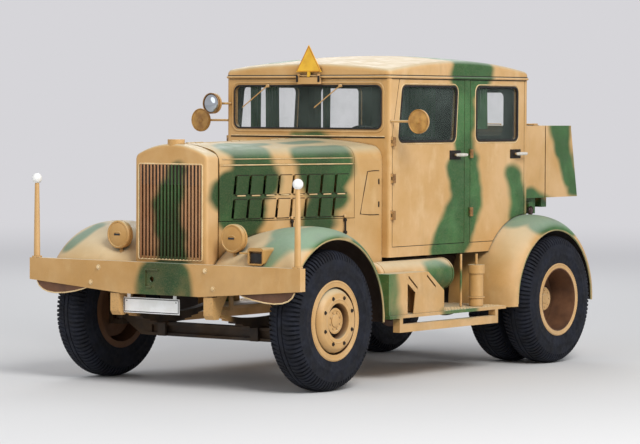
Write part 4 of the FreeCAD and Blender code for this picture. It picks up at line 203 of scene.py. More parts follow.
def patch_mask(graph, patches):
    """1 inside the green patches, 0 outside, with sprayed edges."""
    place = graph.vector("MULTIPLY", graph.place(), PATCH_SCALE)
    wander = graph.node("TexNoise", {"Vector": place, "Scale": 5.0, "Detail": 1.0}).outputs["Color"]
    wander = graph.vector("SUBTRACT", wander, (0.5, 0.5, 0.5))
    place = graph.vector("ADD", place, graph.vector("MULTIPLY", wander, (PATCH_WANDER,) * 3))
    nearest = 1.0
    for *ends, radius in patches:
        start = Vector(ends[:3]) * PATCH_SCALE
        run = Vector(ends[3:]) * PATCH_SCALE - start
        offset = graph.vector("SUBTRACT", place, start)
        share = graph.vector("DOT_PRODUCT", offset, run / run.length_squared)
        share = graph.math("MULTIPLY", share, 1.0, True)
        along = graph.node("VectorMath", {0: run, "Scale": share}, operation="SCALE").outputs["Vector"]
        gap = graph.vector("LENGTH", graph.vector("SUBTRACT", offset, along))
        values = {0: graph.math("SUBTRACT", gap, radius), 1: nearest, 2: PATCH_JOIN}
        nearest = graph.node("Math", values, operation="SMOOTH_MIN").outputs[0]
    return graph.ramp(nearest, PATCH_SOFT, -PATCH_SOFT)


def painted_crevice_shade(graph, colour, distance=0.035, depth=0.75):
    """Darkens a colour towards brown where surfaces meet, from ambient occlusion: painted shade."""
    shade = graph.node("AmbientOcclusion", {"Distance": distance}, samples=4).outputs["AO"]
    return graph.mix(graph.ramp(shade, depth, 0.25), colour, GRIME_AND_CREVICE_SHADE)


# The cab's inner faces: half width, middle and half length, floor, and the roof's rim
CAB_HALF_X, CAB_MIDDLE_Y, CAB_HALF_Y, CAB_LOW, CAB_RIM = 0.7372, 0.474, 0.9345, 0.905, 2.2495


def outside(graph, value, limit):
    """1 where a length is past a limit on either side of zero."""
    return graph.math("GREATER_THAN", graph.math("ABSOLUTE", value), limit)


def cab_inside(graph):
    """1 on the faces that look into the cab."""
    place = graph.split(graph.place())
    rising = graph.split(graph.normal())["Z"]
    past = graph.math("MAXIMUM", outside(graph, place["X"], CAB_HALF_X),
                      outside(graph, graph.math("SUBTRACT", place["Y"], CAB_MIDDLE_Y), CAB_HALF_Y))
    past = graph.math("MAXIMUM", past, graph.math("LESS_THAN", place["Z"], CAB_LOW))
    crown = graph.math("MULTIPLY", graph.math("GREATER_THAN", place["Z"], CAB_RIM),
                       graph.math("GREATER_THAN", rising, 0.1))
    return graph.math("SUBTRACT", 1.0, graph.math("MAXIMUM", past, crown))


def fender_inside(graph, axle_y):
    """1 on the faces of a fender that look at its wheel."""
    place = graph.vector("SUBTRACT", graph.place(), (0, axle_y, TYRE_RADIUS))
    facing = graph.vector("DOT_PRODUCT", graph.normal(), graph.vector("MULTIPLY", place, (0, 1, 1)))
    return graph.math("LESS_THAN", facing, -0.03)


def wheel_inside(graph):
    """1 on the faces of a wheel that look at the vehicle's middle or at the axle."""
    across = graph.math("MULTIPLY", graph.split(graph.place())["X"], graph.split(graph.normal())["X"])
    return graph.ramp(across, 0.34, 0.06)


def paint(name, patches=(), inside=None, tone=WHITE, tans=TANS, greens=GREENS):
    """Old field paint: a mottled tan with sprayed green, grain, grime streaks and dust; painted shade in the
    seams, on faces that look ahead and on inner faces, and a painted highlight on faces that look up.
    """
    graph = Graph(name)
    cloud = graph.noise(2.3, 4)
    colour = graph.mix(graph.ramp(cloud, 0.3, 0.7), tans[0], tans[1])
    colour = graph.mix(graph.ramp(graph.noise(7.5, 5, (1, 1, 0.6)), 0.5, 0.78, (0.0, 0.4)), colour, tans[2])
    if patches:
        green = graph.mix(graph.ramp(graph.noise(3.1, 3), 0.4, 0.7), *greens)
        colour = graph.mix(patch_mask(graph, patches), colour, green)
    grain = graph.noise(150, 2)
    colour = graph.mix(graph.ramp(grain, 0.35, 0.8, (0.0, 0.1)), colour, TANS[2])
    streak = graph.noise(11, 4, (1, 1, 0.16))
    colour = graph.mix(graph.ramp(streak, 0.58, 0.85, (0.0, 0.16)), colour, GRIME_AND_CREVICE_SHADE)
    low = graph.ramp(graph.split(graph.place())["Z"], 1.05, 0.45)
    splash = graph.math("MULTIPLY", low, graph.ramp(graph.noise(7, 4), 0.35, 0.75))
    colour = graph.mix(graph.math("MULTIPLY", splash, 0.45), colour, DUST)
    colour = painted_crevice_shade(graph, colour)
    normal = graph.split(graph.normal())
    # Painted shade on the faces that look ahead
    ahead_shade = graph.mix(graph.ramp(normal["Y"], -0.45, -0.95), WHITE, AHEAD_FACE_SHADE)
    # Painted highlight on the faces that look up
    colour = graph.mix(graph.ramp(normal["Z"], 0.25, 0.92, (0.0, 0.36)), colour, UPWARD_HIGHLIGHT)
    colour = graph.mix(1.0, graph.mix(1.0, colour, tone, "MULTIPLY"), ahead_shade, "MULTIPLY")
    # Painted shade on inner faces: those that look into the cab, at a fender's wheel, and into a wheel
    if inside == "cab":
        colour = graph.mix(cab_inside(graph), colour, SHADE)
    elif inside == "wheel":
        colour = graph.mix(wheel_inside(graph), colour, screen(98, 66, 42))
    elif inside is not None:
        colour = graph.mix(fender_inside(graph, inside), colour, screen(56, 40, 28))
    graph.set(Base_Color=colour, Specular_IOR_Level=0.4)
    graph.rough(11, 0.46, 0.66)
    graph.bump(graph.math("ADD", grain, graph.math("MULTIPLY", cloud, 2.0)), 0.25, 0.0012)
    return graph.owner


def plain(name, colour, other, scale, roughness, metallic=0.0, bump=0.001, shade_depth=0.7):
    """A worn surface of two shades of one colour with a fine grain, and painted shade where surfaces meet."""
    graph = Graph(name)
    other = screen(*other)
    base = graph.mix(graph.ramp(graph.noise(scale, 4), 0.35, 0.7), screen(*colour), other)
    fine = graph.noise(90.0, 3)
    base = graph.mix(graph.ramp(fine, 0.45, 0.8, (0.0, 0.3)), base, other)
    graph.set(Base_Color=painted_crevice_shade(graph, base, depth=shade_depth), Metallic=metallic, Specular_IOR_Level=0.5)
    graph.rough(scale * 1.7, *roughness)
    graph.bump(fine, 0.3, bump)
    return graph.owner


def chassis_paint():
    """Worn brown chassis paint, darkened as painted shade under the body, with the paint of the body on the
    frame's front end.
    """
    graph = Graph("chassis_paint_worn_and_shaded")
    dark = graph.mix(graph.ramp(graph.noise(5, 4), 0.35, 0.7), screen(72, 54, 34), screen(44, 34, 26))
    base = graph.mix(graph.ramp(graph.split(graph.place())["Y"], -1.98, -2.06), dark, TANS[0])
    fine = graph.noise(90, 3)
    base = graph.mix(graph.ramp(fine, 0.45, 0.8, (0.0, 0.3)), base, screen(52, 40, 28))
    graph.set(Base_Color=painted_crevice_shade(graph, base))
    graph.rough(8, 0.6, 0.8)
    graph.bump(fine, 0.3, 0.001)
    return graph.owner


def clear_glass():
    """A thin pane: nearly clear, with a faint green cast and reflections."""
    graph = Graph("window_glass")
    haze = graph.ramp(graph.noise(4, 4), 0.3, 0.8, (0.05, 0.11))
    graph.set(Base_Color=screen(150, 170, 160), Roughness=0.06, Alpha=haze, Specular_IOR_Level=0.6)
    return graph.owner


def leather():
    """Brown leather with grain, creases with painted shade in them, and worn crowns."""
    graph = Graph("seat_leather_brown")
    hide = graph.mix(graph.ramp(graph.noise(6, 4), 0.35, 0.7), screen(58, 36, 22), screen(92, 60, 36))
    cells = graph.node("TexVoronoi", {"Vector": graph.place(), "Scale": 260.0}).outputs["Distance"]
    graph.set(Base_Color=painted_crevice_shade(graph, hide, 0.05), Specular_IOR_Level=0.4)
    graph.rough(9, 0.42, 0.6)
    graph.bump(graph.math("ADD", cells, graph.noise(30, 3)), 0.35, 0.002)
    return graph.owner


def cloth():
    """A woven curtain cloth in two greens in long streaks, with painted shade in its folds."""
    graph = Graph("curtain_cloth")
    fold = graph.ramp(graph.noise(7, 3, (1, 1, 0.3)), 0.35, 0.7)
    base = painted_crevice_shade(graph, graph.mix(fold, screen(32, 60, 34), screen(58, 92, 58)), 0.03)
    values = {"Vector": graph.place(), "Scale": 260.0, "Distortion": 0.4}
    weave = graph.node("TexWave", values, bands_direction="Z").outputs["Fac"]
    graph.set(Base_Color=base, Roughness=0.92, Sheen_Weight=0.25, Specular_IOR_Level=0.2)
    graph.bump(weave, 0.25, 0.0008)
    return graph.owner


def rubber():
    """Blue-black rubber, dusty in its recesses."""
    graph = Graph("tyre_rubber")
    base = graph.mix(graph.ramp(graph.noise(9, 4), 0.35, 0.7), screen(13, 15, 23), screen(24, 28, 40))
    base = graph.mix(graph.ramp(graph.noise(22, 4), 0.5, 0.85, (0.0, 0.12)), base, screen(62, 62, 64))
    graph.set(Base_Color=base, Specular_IOR_Level=0.35)
    graph.rough(30, 0.7, 0.9)
    graph.bump(graph.noise(240, 3), 0.3, 0.0012)
    return graph.owner


MATERIALS = {
    "hood": paint("paint_hood", (*HOOD_PATCHES, SHELL_CORNER), None, HOOD_TONE, greens=DARK_GREENS),
    "nose": paint("paint_nose", FRONT_PATCHES, greens=DARK_GREENS),
    "bars": paint("paint_grille_bars_shaded", FRONT_PATCHES, tans=SHADED_BAR_TANS, greens=DARK_GREENS),
    "fender": paint("paint_fender", FENDER_PATCHES, FRONT_AXLE_Y),
    "cab": paint("paint_cab", CAB_PATCHES, "cab"),
    "rear": paint("paint_rear", REAR_PATCHES),
    "rear_fender": paint("paint_rear_fender", REAR_PATCHES, REAR_AXLE_Y),
    "board": paint("paint_board", BOARD_PATCHES),
    "tan": paint("paint_tan"),
    "lamp": paint("paint_lamps", tone=(0.88, 0.83, 0.68, 1.0)),
    "wheel": paint("paint_wheels", (), "wheel", (0.97, 0.96, 0.93, 1.0)),
    "chassis": chassis_paint(),
    "rubber": rubber(),
    "glass": clear_glass(),
    "leather": leather(),
    "curtain": cloth(),
}
# Two shades, the mottling's scale, roughness; then metal, height of the grain and reach of the painted shade
# where surfaces meet
PLAIN = {
    # Dark brown painted shade, for the rear rims' depths and the fender tips under the bumper
    "deep_painted_shade": ("wheel_well_painted_shade", (118, 80, 54), (84, 56, 38), 5.0, (0.6, 0.8)),
    "iron": ("engine_iron_cast", (46, 43, 40), (28, 27, 26), 12.0, (0.55, 0.75), 0.4),
    # Near-black: painted shade of the cab's inside, on its floor, seat boxes and dashboard
    "lining": ("cab_lining_dark", (34, 30, 26), (20, 18, 17), 6.0, (0.7, 0.85)),
    # Light tan for lips, mouldings, studs and bolt heads: painted highlight
    "edge": ("edge_painted_highlight", (232, 204, 156), (214, 180, 126), 14.0, (0.4, 0.6)),
    "ochre": ("mirror_paint", (196, 148, 74), (160, 112, 50), 16.0, (0.4, 0.55)),
    "hinge": ("hinge_paint", (156, 116, 66), (120, 84, 46), 18.0, (0.45, 0.6)),
    "bakelite": ("black_plastic_moulded", (18, 18, 19), (30, 30, 31), 14.0, (0.25, 0.4), 0.0, 0.0003),
    "white": ("white_enamel", (250, 250, 248), (238, 237, 232), 9.0, (0.35, 0.5), 0.0, 0.0004, 0.4),
    "yellow": ("yellow_enamel", (240, 190, 50), (222, 168, 36), 9.0, (0.4, 0.55), 0.0, 0.0004, 0.4),
    "amber": ("amber_border", (206, 138, 30), (186, 118, 24), 9.0, (0.4, 0.55), 0.0, 0.0004, 0.4),
    "bright": ("bright_handle", (226, 222, 212), (196, 190, 178), 20.0, (0.25, 0.4), 0.0, 0.0003),
    # Lighter tan for the fenders' lip beads: painted highlight
    "bead": ("fender_bead", (190, 162, 112), (120, 128, 84), 3.0, (0.45, 0.6)),
    "steel": ("bare_steel", (150, 146, 138), (96, 90, 82), 20.0, (0.3, 0.5), 0.8, 0.0005),
    # Near-black brown: the own colour of dark fittings, and painted shade in recesses and along shadow lines
    "dark": ("dark_fittings_and_recess_shade", (34, 24, 16), (22, 16, 12), 16.0, (0.7, 0.9)),
    "gasket": ("window_rubber", (22, 20, 20), (36, 33, 32), 18.0, (0.6, 0.8)),
    "mirror": ("mirror_glass", (196, 202, 206), (180, 186, 192), 6.0, (0.04, 0.08), 1.0, 0.0001),
    "red": ("red_lens", (66, 20, 14), (44, 14, 10), 20.0, (0.12, 0.2), 0.0, 0.0004),
}
for key, row in PLAIN.items():
    MATERIALS[key] = plain(*row)

# What each node is painted with, where * stands for left and right
NODE_PAINT = {
    "hood": "hood_* hood_valances scuttle",
    "nose": "radiator_shell bumper",
    "bars": "grille",
    "fender": "front_fenders",
    "cab": "cab_body cab_roof front_door_* rear_door_*",
    "rear": "locker locker_lid locker_support",
    "rear_fender": "rear_fenders",
    "board": "running_boards toe_boxes side_tanks jack",
    "tan": "width_poles cab_fittings tie_rod",
    "lamp": "front_lamps",
    "wheel": "front_rim_*",
    "deep_painted_shade": "rear_rims_*",
    "chassis": "frame leaf_springs axles steering_box driveline exhaust knuckle_* drag_link drop_arm"
               " tow_hitch",
    "iron": "engine_block radiator_core",
    "lining": "cab_floor seat_boxes dashboard",
    "bakelite": "steering_wheel",
    "white": "number_plate",
    "yellow": "tow_sign",
    "glass": "cab_glass front_door_glass_* rear_door_glass_*",
}
for key, names in NODE_PAINT.items():
    for name in names.split():
        for node in {name.replace("*", side) for side, sign in SIDES}:
            for holder in nodes[node].material_slots:
                holder.material = MATERIALS[key]

# ---- mesh helpers


def put_in_scene(name, data):
    made = bpy.data.objects.new(name, data)
    bpy.context.scene.collection.objects.link(made)
    return made


class Piece:
    """A mesh under construction, in the row frame."""

    def __init__(self):
        self.mesh = bmesh.new()

    def vert(self, place):
        return self.mesh.verts.new(place)

    def skin(self, rows, closed=False):
        """Faces between rows of as many points, closed round each row or open."""
        for first, second in zip(rows, rows[1:]):
            for n in range(len(first) if closed else len(first) - 1):
                m = (n + 1) % len(first)
                self.mesh.faces.new((first[n], first[m], second[m], second[n]))

    def block(self, low, high, bevel=0.002):
        """A box between two corners with eased edges."""
        low, high = Vector(low), Vector(high)
        verts = bmesh.ops.create_cube(self.mesh, size=1)["verts"]
        place = Matrix.Translation((low + high) / 2) @ Matrix.Diagonal((*(high - low), 1))
        bmesh.ops.transform(self.mesh, matrix=place, verts=verts)
        if bevel:
            edges = list({edge for vert in verts for edge in vert.link_edges})
            bmesh.ops.bevel(self.mesh, geom=edges, offset=bevel, segments=2, profile=0.5, affect="EDGES")

    def lathe(self, centre, axis, profile, sides=32, start=0.0):
        """Turns (distance along axis, radius) points round an axis."""
        turn = Vector(UP).rotation_difference(Vector(axis).normalized()).to_matrix().to_4x4()
        place = Matrix.Translation(Vector(centre)) @ turn
        rings = []
        for along, radius in profile:
            angles = [start + 2 * pi * n / sides for n in range(sides if radius > 1e-6 else 1)]
            spots = [Vector((radius * cos(a), radius * sin(a), along)) for a in angles]
            rings.append([self.vert(place @ spot) for spot in spots])
        for first, second in zip(rings, rings[1:]):
            if min(len(first), len(second)) > 1:
                self.skin((first, second), True)
            elif max(len(first), len(second)) > 1:
                for n in range(sides):
                    m = (n + 1) % sides
                    self.mesh.faces.new((first[n], first[m], second[0]) if len(first) > 1
                                        else (first[0], second[m], second[n]))

    def bolt(self, centre, axis, radius, height):
        """A bolt head on its washer, sunk a little into what it holds."""
        sunk, washer = -0.002, radius * 1.35
        self.lathe(centre, axis, ((sunk, 0), (sunk, washer), (0.0015, washer), (0.0015, 0)), 16)
        self.lathe(centre, axis, ((0.001, 0), (0.001, radius), (height * 0.8, radius),
                                  (height, radius * 0.78), (height, 0)), 6)

    def rivet(self, centre, axis, radius):
        self.lathe(centre, axis, ((-0.001, 0), (-0.001, radius), (radius * 0.3, radius * 0.9),
                                  (radius * 0.6, radius * 0.5), (radius * 0.7, 0)), 10)

    def sweep(self, points, radius, closed=False, sides=8, flat=1.0, up=UP):
        """A tube along points, pressed flat across its run where flat is under 1."""
        points = [Vector(p) for p in points]
        count = len(points)
        thick = radius if isinstance(radius, list) else [radius] * count
        rings = []
        for n, point in enumerate(points):
            before = points[n - 1] if (n or closed) else point
            after = points[(n + 1) % count] if (n + 1 < count or closed) else point
            tangent = (after - before).normalized()
            side = tangent.cross(Vector(up))
            side = side.normalized() if side.length > 1e-5 else Vector(LEFT)
            over = side.cross(tangent)
            angles = [2 * pi * k / sides for k in range(sides)]
            rings.append([self.vert(point + side * thick[n] * cos(a) + over * thick[n] * flat * sin(a))
                          for a in angles])
        self.skin(rings + rings[:1] if closed else rings, True)
        for ring in () if closed else (rings[0], rings[-1]):
            self.mesh.faces.new(ring)

    def hoop(self, outline, thick, up=UP, flat=1.0, sides=8):
        self.sweep(outline, thick, True, sides, flat, up)

    def done(self, name, material, body="chassis", slot="tan_paint", angle=35.0):
        bmesh.ops.remove_doubles(self.mesh, verts=self.mesh.verts, dist=1e-6)
        bmesh.ops.recalc_face_normals(self.mesh, faces=self.mesh.faces)
        data = bpy.data.meshes.new(name)
        self.mesh.to_mesh(data)
        self.mesh.free()
        data.materials.append(MATERIALS[material])
        data.polygons.foreach_set("use_smooth", [True] * len(data.polygons))
        data.set_sharp_from_angle(angle=radians(angle))
        made = put_in_scene(name, data)
        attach(made, body)
        return made


def rounded_outline(corners, radius, steps=6):
    """A closed outline through corners in a plane, each rounded to radius."""
    corners = [Vector(c) for c in corners]
    points = []
    for n, corner in enumerate(corners):
        before = (corners[n - 1] - corner).normalized()
        after = (corners[(n + 1) % len(corners)] - corner).normalized()
        half = before.angle(after) / 2
        reach = radius / tan(half)
        middle = corner + (before + after).normalized() * (radius / sin(half))
        first, last = corner + before * reach - middle, corner + after * reach - middle
        turn = first.angle(last)
        for k in range(steps + 1):
            share = k / steps
            bend = first * sin((1 - share) * turn) + last * sin(share * turn)
            points.append(middle + bend / sin(turn))
    return points


# ---- wheels

LUGS = 92
# Half of a tyre's section: distance from the middle plane, radius, tread depth there, turn in lugs
TYRE_HALF = (
    (0.0, 0.5049, 0.0, 0.0), (0.012, 0.5049, 0.0, 0.0), (0.015, 0.4965, 0.0, 0.05),
    (0.021, 0.4965, 0.0, 0.1), (0.024, 0.5047, 0.003, 0.15), (0.052, 0.5035, 0.006, 0.45),
    (0.07, 0.5005, 0.008, 0.5), (0.09, 0.493, 0.009, 0.5), (0.106, 0.481, 0.009, 0.5),
    (0.118, 0.464, 0.007, 0.5), (0.1245, 0.447, 0.005, 0.5), (0.1272, 0.44, 0.003, 0.5),
    (0.1262, 0.436, 0.0, 0.5), (0.13, 0.418, 0.0, 0.5), (0.1322, 0.395, 0.0, 0.5),
    (0.1322, 0.37, 0.0, 0.5), (0.1335, 0.366, 0.0, 0.5), (0.1335, 0.356, 0.0, 0.5),
    (0.1312, 0.351, 0.0, 0.5), (0.129, 0.325, 0.0, 0.5), (0.1245, 0.302, 0.0, 0.5),
    (0.1215, 0.2905, 0.0, 0.5),
)
# Where a lug's columns stand along its pitch, and whether each is up on the lug
LUG_COLUMNS = ((0.0, 0.0), (0.07, 1.0), (0.6, 1.0), (0.68, 0.0))


def tyre(piece, centre):
    """One tyre with shoulder lugs, centre ribs and ringed side walls."""
    section = [(-x, r, depth, -turn) for x, r, depth, turn in reversed(TYRE_HALF[1:])] + list(TYRE_HALF)
    rings = []
    for x, r, depth, turn in section:
        ring = []
        for lug in range(LUGS):
            for share, up in LUG_COLUMNS:
                angle = 2 * pi * (lug + share + turn) / LUGS
                radius = r - depth * (1 - up)
                inward = x * (1 - 0.25 * (1 - up) * depth / 0.014 * abs(x) / 0.13)
                ring.append(piece.vert(centre + Vector((inward, radius * cos(angle), radius * sin(angle)))))
        rings.append(ring)
    piece.skin(rings, True)


FRONT_WHEEL_X, REAR_OUTER_X, REAR_INNER_X = 0.985, 0.965, 0.645

for side, sign in SIDES:
    for tread, node, body, y, columns in (
            ("front_tread", "front_tyre", "wheel_front", FRONT_AXLE_Y, (FRONT_WHEEL_X,)),
            ("rear_tread", "rear_tyres", "wheels_rear", REAR_AXLE_Y, (REAR_OUTER_X, REAR_INNER_X))):
        piece = Piece()
        for x in columns:
            tyre(piece, Vector((x * sign, y, TYRE_RADIUS)))
        made = piece.done(f"{tread}_{side}", "rubber", f"{body}_{side}", "tyre", 28)
        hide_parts(f"{node}_{side}")


def around(centre, radius, count, start=0.0):
    """Points spread round an axle."""
    angles = [start + 2 * pi * n / count for n in range(count)]
    return [Vector((centre[0], centre[1] + radius * cos(a), centre[2] + radius * sin(a))) for a in angles]


# Faces of the front disc, hub cap and rear hub, from the vehicle's middle
FRONT_DISC_FACE = FRONT_WHEEL_X + 0.062 + 0.014
FRONT_HUB_FACE = FRONT_WHEEL_X + 0.118
REAR_DISC_FACE = REAR_OUTER_X - 0.121 + 0.01 + 0.016
REAR_CAP_FACE = 0.95
# The front disc's dished cover: distance from the disc's face, radius
DISH_FACE, DISH_RIB = 0.0745, 0.077
FRONT_DISH = ((-0.001, 0.2415), (0.018, 0.2365), (0.043, 0.226), (0.062, 0.211), (0.0725, 0.198),
              (DISH_FACE, 0.193), (DISH_FACE, 0.16), (DISH_RIB, 0.157), (DISH_RIB, 0.152), (DISH_FACE, 0.149),
              (DISH_FACE, 0.134), (0.0725, 0.1285), (0.067, 0.1265), (-0.001, 0.125))
FRONT_CAP = ((-0.008, 0.0935), (0.001, 0.0925), (0.0035, 0.088), (0.0035, 0.074), (-0.001, 0.071))
FRONT_BOSS = ((-0.001, 0.046), (0.006, 0.044), (0.01, 0.036), (0.011, 0.018), (0.011, 0))
REAR_CAP = ((-0.06, 0.1), (-0.006, 0.096), (0.003, 0.088), (0.003, 0.04), (0.008, 0.036), (0.01, 0))
# The rim's flange: its face from the tyre's middle, its ring, and the rope edge on it
FLANGE_FACE = 0.121
FLANGE_RING = ((-0.004, 0.2885), (0.0, 0.2875), (0.0025, 0.283), (0.0025, 0.277), (0.0008, 0.271),
               (0.0008, 0.251), (-0.003, 0.247), (-0.014, 0.245))
ROPE_RADIUS, ROPE_TURNS, ROPE_THICK = 0.279, 160, [0.0062, 0.0044]


def flange(piece, axle, x, out):
    centre = axle + Vector(((x + FLANGE_FACE) * out[0], 0, 0))
    piece.lathe(centre, out, FLANGE_RING, 80)
    piece.hoop(around(centre, ROPE_RADIUS, ROPE_TURNS), ROPE_THICK * (ROPE_TURNS // 2), out)


for side, sign in SIDES:
    out = (sign, 0, 0)
    body = f"wheel_front_{side}"
    axle = Vector((0, FRONT_AXLE_Y, TYRE_RADIUS))
    piece, studs, shadow = Piece(), Piece(), Piece()
    disc = axle + Vector((FRONT_DISC_FACE * sign, 0, 0))
    piece.lathe(disc, out, FRONT_DISH, 72)
    for spot in around(disc + Vector((DISH_FACE * sign, 0, 0)), 0.174, 8, pi / 8):
        studs.bolt(spot, out, 0.0105, 0.01)
    studs.done(f"front_wheel_studs_{side}", "dark", body)
    flange(piece, axle, FRONT_WHEEL_X, out)
    hub = axle + Vector((FRONT_HUB_FACE * sign, 0, 0))
    piece.lathe(hub, out, FRONT_CAP, 48)
    piece.lathe(hub, out, FRONT_BOSS, 32)
    for spot in around(hub, 0.06, 8, pi / 8):
        piece.bolt(spot, out, 0.0055, 0.005)
    piece.done(f"front_wheel_trim_{side}", "wheel", body)
    shadow.lathe(disc, out, ((0.0006, 0.1245), (0.0006, 0.0925)), 48)
    shadow.done(f"front_wheel_rings_{side}", "dark", body)
    axle = Vector((0, REAR_AXLE_Y, TYRE_RADIUS))
    piece = Piece()
    for spot in around(axle + Vector((REAR_DISC_FACE * sign, 0, 0)), 0.13, 10):
        piece.bolt(spot, out, 0.0125, 0.022)
    flange(piece, axle, REAR_OUTER_X, out)
    hub = axle + Vector((REAR_CAP_FACE * sign, 0, 0))
    piece.lathe(hub, out, REAR_CAP, 40)
    for spot in around(hub, 0.066, 8):
        piece.bolt(spot, out, 0.0065, 0.008)
    piece.done(f"rear_wheel_trim_{side}", "tan", f"wheels_rear_{side}")

# ---- nose

BOLT_SEAT_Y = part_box("bumper")[0].y + 0.0105
piece = Piece()
for x, z in ((-0.578, 0.856), (-0.65, 0.744), (0.408, 0.862), (0.48, 0.737)):
    piece.bolt((x, BOLT_SEAT_Y, z), AHEAD, 0.015, 0.012)
piece.done("bumper_bolts", "edge")

# A border of four strips on the number plate
STRIP, PLATE_HIGH = 0.006, 0.112
piece = Piece()
low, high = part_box("number_plate")
near, far = low.y - 0.0006, low.y + 0.001
x0, x1 = low.x + STRIP, high.x - STRIP
z0, z1 = low.z + STRIP, low.z + PLATE_HIGH - STRIP
for first_x, first_z, last_x, last_z in ((x0, z0, x1, z0 + STRIP), (x0, z1 - STRIP, x1, z1),
                                         (x0, z0, x0 + STRIP, z1), (x1 - STRIP, z0, x1, z1)):
    piece.block((first_x, near, first_z), (last_x, far, last_z), 0.0)
for x in (low.x + 0.03, high.x - 0.03):
    piece.rivet((x, low.y, low.z + PLATE_HIGH - 0.025), AHEAD, 0.005)
piece.done("number_plate_border", "bakelite", slot="black_plastic")

POLE_X, POLE_Y, POLE_LOW, POLE_TOP = 1.2, -2.2245, 0.905, 1.49
POLE_BALL, BALL_STEPS = 0.038, 12
POLE_FOOT = ((0, 0.03), (0.006, 0.029), (0.012, 0.0235), (0.3, 0.0205), (0.545, 0.0165), (0.56, 0.0125))
angles = [pi * k / BALL_STEPS for k in range(BALL_STEPS + 1)]
ball = [(-POLE_BALL * cos(a), POLE_BALL * sin(a)) for a in angles]
tips, feet = Piece(), Piece()
for x in (-POLE_X, POLE_X):
    tips.lathe((x, POLE_Y, POLE_TOP), UP, ball, 24)
    feet.lathe((x, POLE_Y, POLE_LOW), UP, POLE_FOOT, 24)
tips.done("pole_tips", "white", slot="white_paint")
feet.done("pole_feet", "tan")

HEADLAMP_X, HEADLAMP_Y, HEADLAMP_Z = 0.527, -2.0945, 1.09
LAMP_COVER = ((-0.012, 0.1005), (-0.012, 0.1025), (0.0, 0.1025), (0.006, 0.098), (0.008, 0.091),
              (0.004, 0.087), (0.006, 0.08), (0.012, 0.055), (0.014, 0.025), (0.0145, 0))
LAMP_BAND = ((-0.004, 0.1), (-0.004, 0.1025), (0.004, 0.1025), (0.004, 0.1))
LAMP_COIL = ((-0.005, 0.0138), (-0.003, 0.019), (0.003, 0.019), (0.005, 0.0138))
piece, slits = Piece(), Piece()
for x in (-HEADLAMP_X, HEADLAMP_X):
    centre = Vector((x, HEADLAMP_Y, HEADLAMP_Z))
    piece.lathe(centre, AHEAD, LAMP_COVER, 48)
    piece.lathe(centre + Vector((0, 0.03, 0)), AHEAD, LAMP_BAND, 48)
    angles = [pi * k / 10 for k in range(11)]
    piece.sweep([centre + Vector((0.034 * cos(a), -0.012, 0.02 * sin(a))) for a in angles], 0.005, up=BEHIND)
    slits.block(centre + Vector((-0.026, -0.0165, -0.007)), centre + Vector((0.026, -0.01, 0.007)), 0.001)
    for a in (radians(90), radians(210), radians(330)):
        piece.bolt(centre + Vector((0.095 * cos(a), -0.006, 0.095 * sin(a))), AHEAD, 0.004, 0.004)
    for k in range(4):
        piece.lathe((x, HEADLAMP_Y + 0.036, HEADLAMP_Z - 0.118 - 0.022 * k), UP, LAMP_COIL, 20)
piece.done("headlamp_covers", "lamp")
slits.done("headlamp_slits", "bakelite", slot="black_plastic")

piece = Piece()
piece.block((0.752, -2.179, 0.926), (0.862, -2.174, 0.996))
piece.done("hooded_lamp_glass", "gasket", slot="glass")

# ---- hood

# The hood's side at its front and back
HOOD_FRONT_Y, HOOD_BACK_Y = -2.0115, -0.7645
HOOD_FRONT_X, HOOD_BACK_X = 0.342, 0.64
HOOD_OUT = Vector((HOOD_BACK_Y - HOOD_FRONT_Y, HOOD_FRONT_X - HOOD_BACK_X, 0)).normalized()


def hood_out(sign):
    return Vector((HOOD_OUT.x * sign, HOOD_OUT.y, HOOD_OUT.z))


def on_hood(sign, y, z, lift):
    """A point on a hood half's side, lifted off it."""
    share = (y - HOOD_FRONT_Y) / (HOOD_BACK_Y - HOOD_FRONT_Y)
    x = HOOD_FRONT_X + (HOOD_BACK_X - HOOD_FRONT_X) * share
    return Vector((x * sign, y, z)) + hood_out(sign) * lift


CATCH = ((0, 0.0115), (0.012, 0.0115), (0.015, 0.008), (0.015, 0))
for side, sign in SIDES:
    catch, keeper = Piece(), Piece()
    out = hood_out(sign)
    for y in (-1.3565, -0.8575):
        keeper.sweep([on_hood(sign, y, z, 0.013) for z in (1.104, 1.13, 1.16, 1.185)], 0.0065, up=BEHIND)
        for z, radius in ((1.098, 0.015), (1.19, 0.013)):
            knob = ((0, 0.006), (0.008, 0.006), (0.009, radius), (0.018, radius), (0.022, radius * 0.6),
                    (0.022, 0))
            keeper.lathe(on_hood(sign, y, z, -0.002), out, knob, 16)
        catch.lathe(on_hood(sign, y, 1.218, -0.001), out, CATCH, 16)
    keeper.done(f"hood_latches_{side}", "dark", slot="chassis_paint")
    catch.done(f"hood_catches_{side}", "tan", f"hood_{side}")

# ---- cab

CAB_FRONT, CAB_BACK = -0.4945, 1.4425


def ring_in_y(y, x0, x1, z0, z1, radius):
    return rounded_outline(((x0, y, z0), (x1, y, z0), (x1, y, z1), (x0, y, z1)), radius)


piece = Piece()
piece.hoop(ring_in_y(CAB_FRONT - 0.001, -0.692, 0.692, 1.863, 2.187, 0.047), 0.007, BEHIND)
for low_x, high_x in ((0.118, 0.562), (-0.562, -0.118)):
    piece.hoop(ring_in_y(CAB_BACK + 0.001, low_x, high_x, 1.798, 2.152, 0.047), 0.007, BEHIND)
piece.done("screen_rubbers", "gasket", slot="black_plastic")
piece = Piece()
piece.hoop(ring_in_y(CAB_FRONT - 0.002, -0.716, 0.716, 1.84, 2.21, 0.066), 0.007, BEHIND, 0.6)
piece.done("screen_frame", "cab")

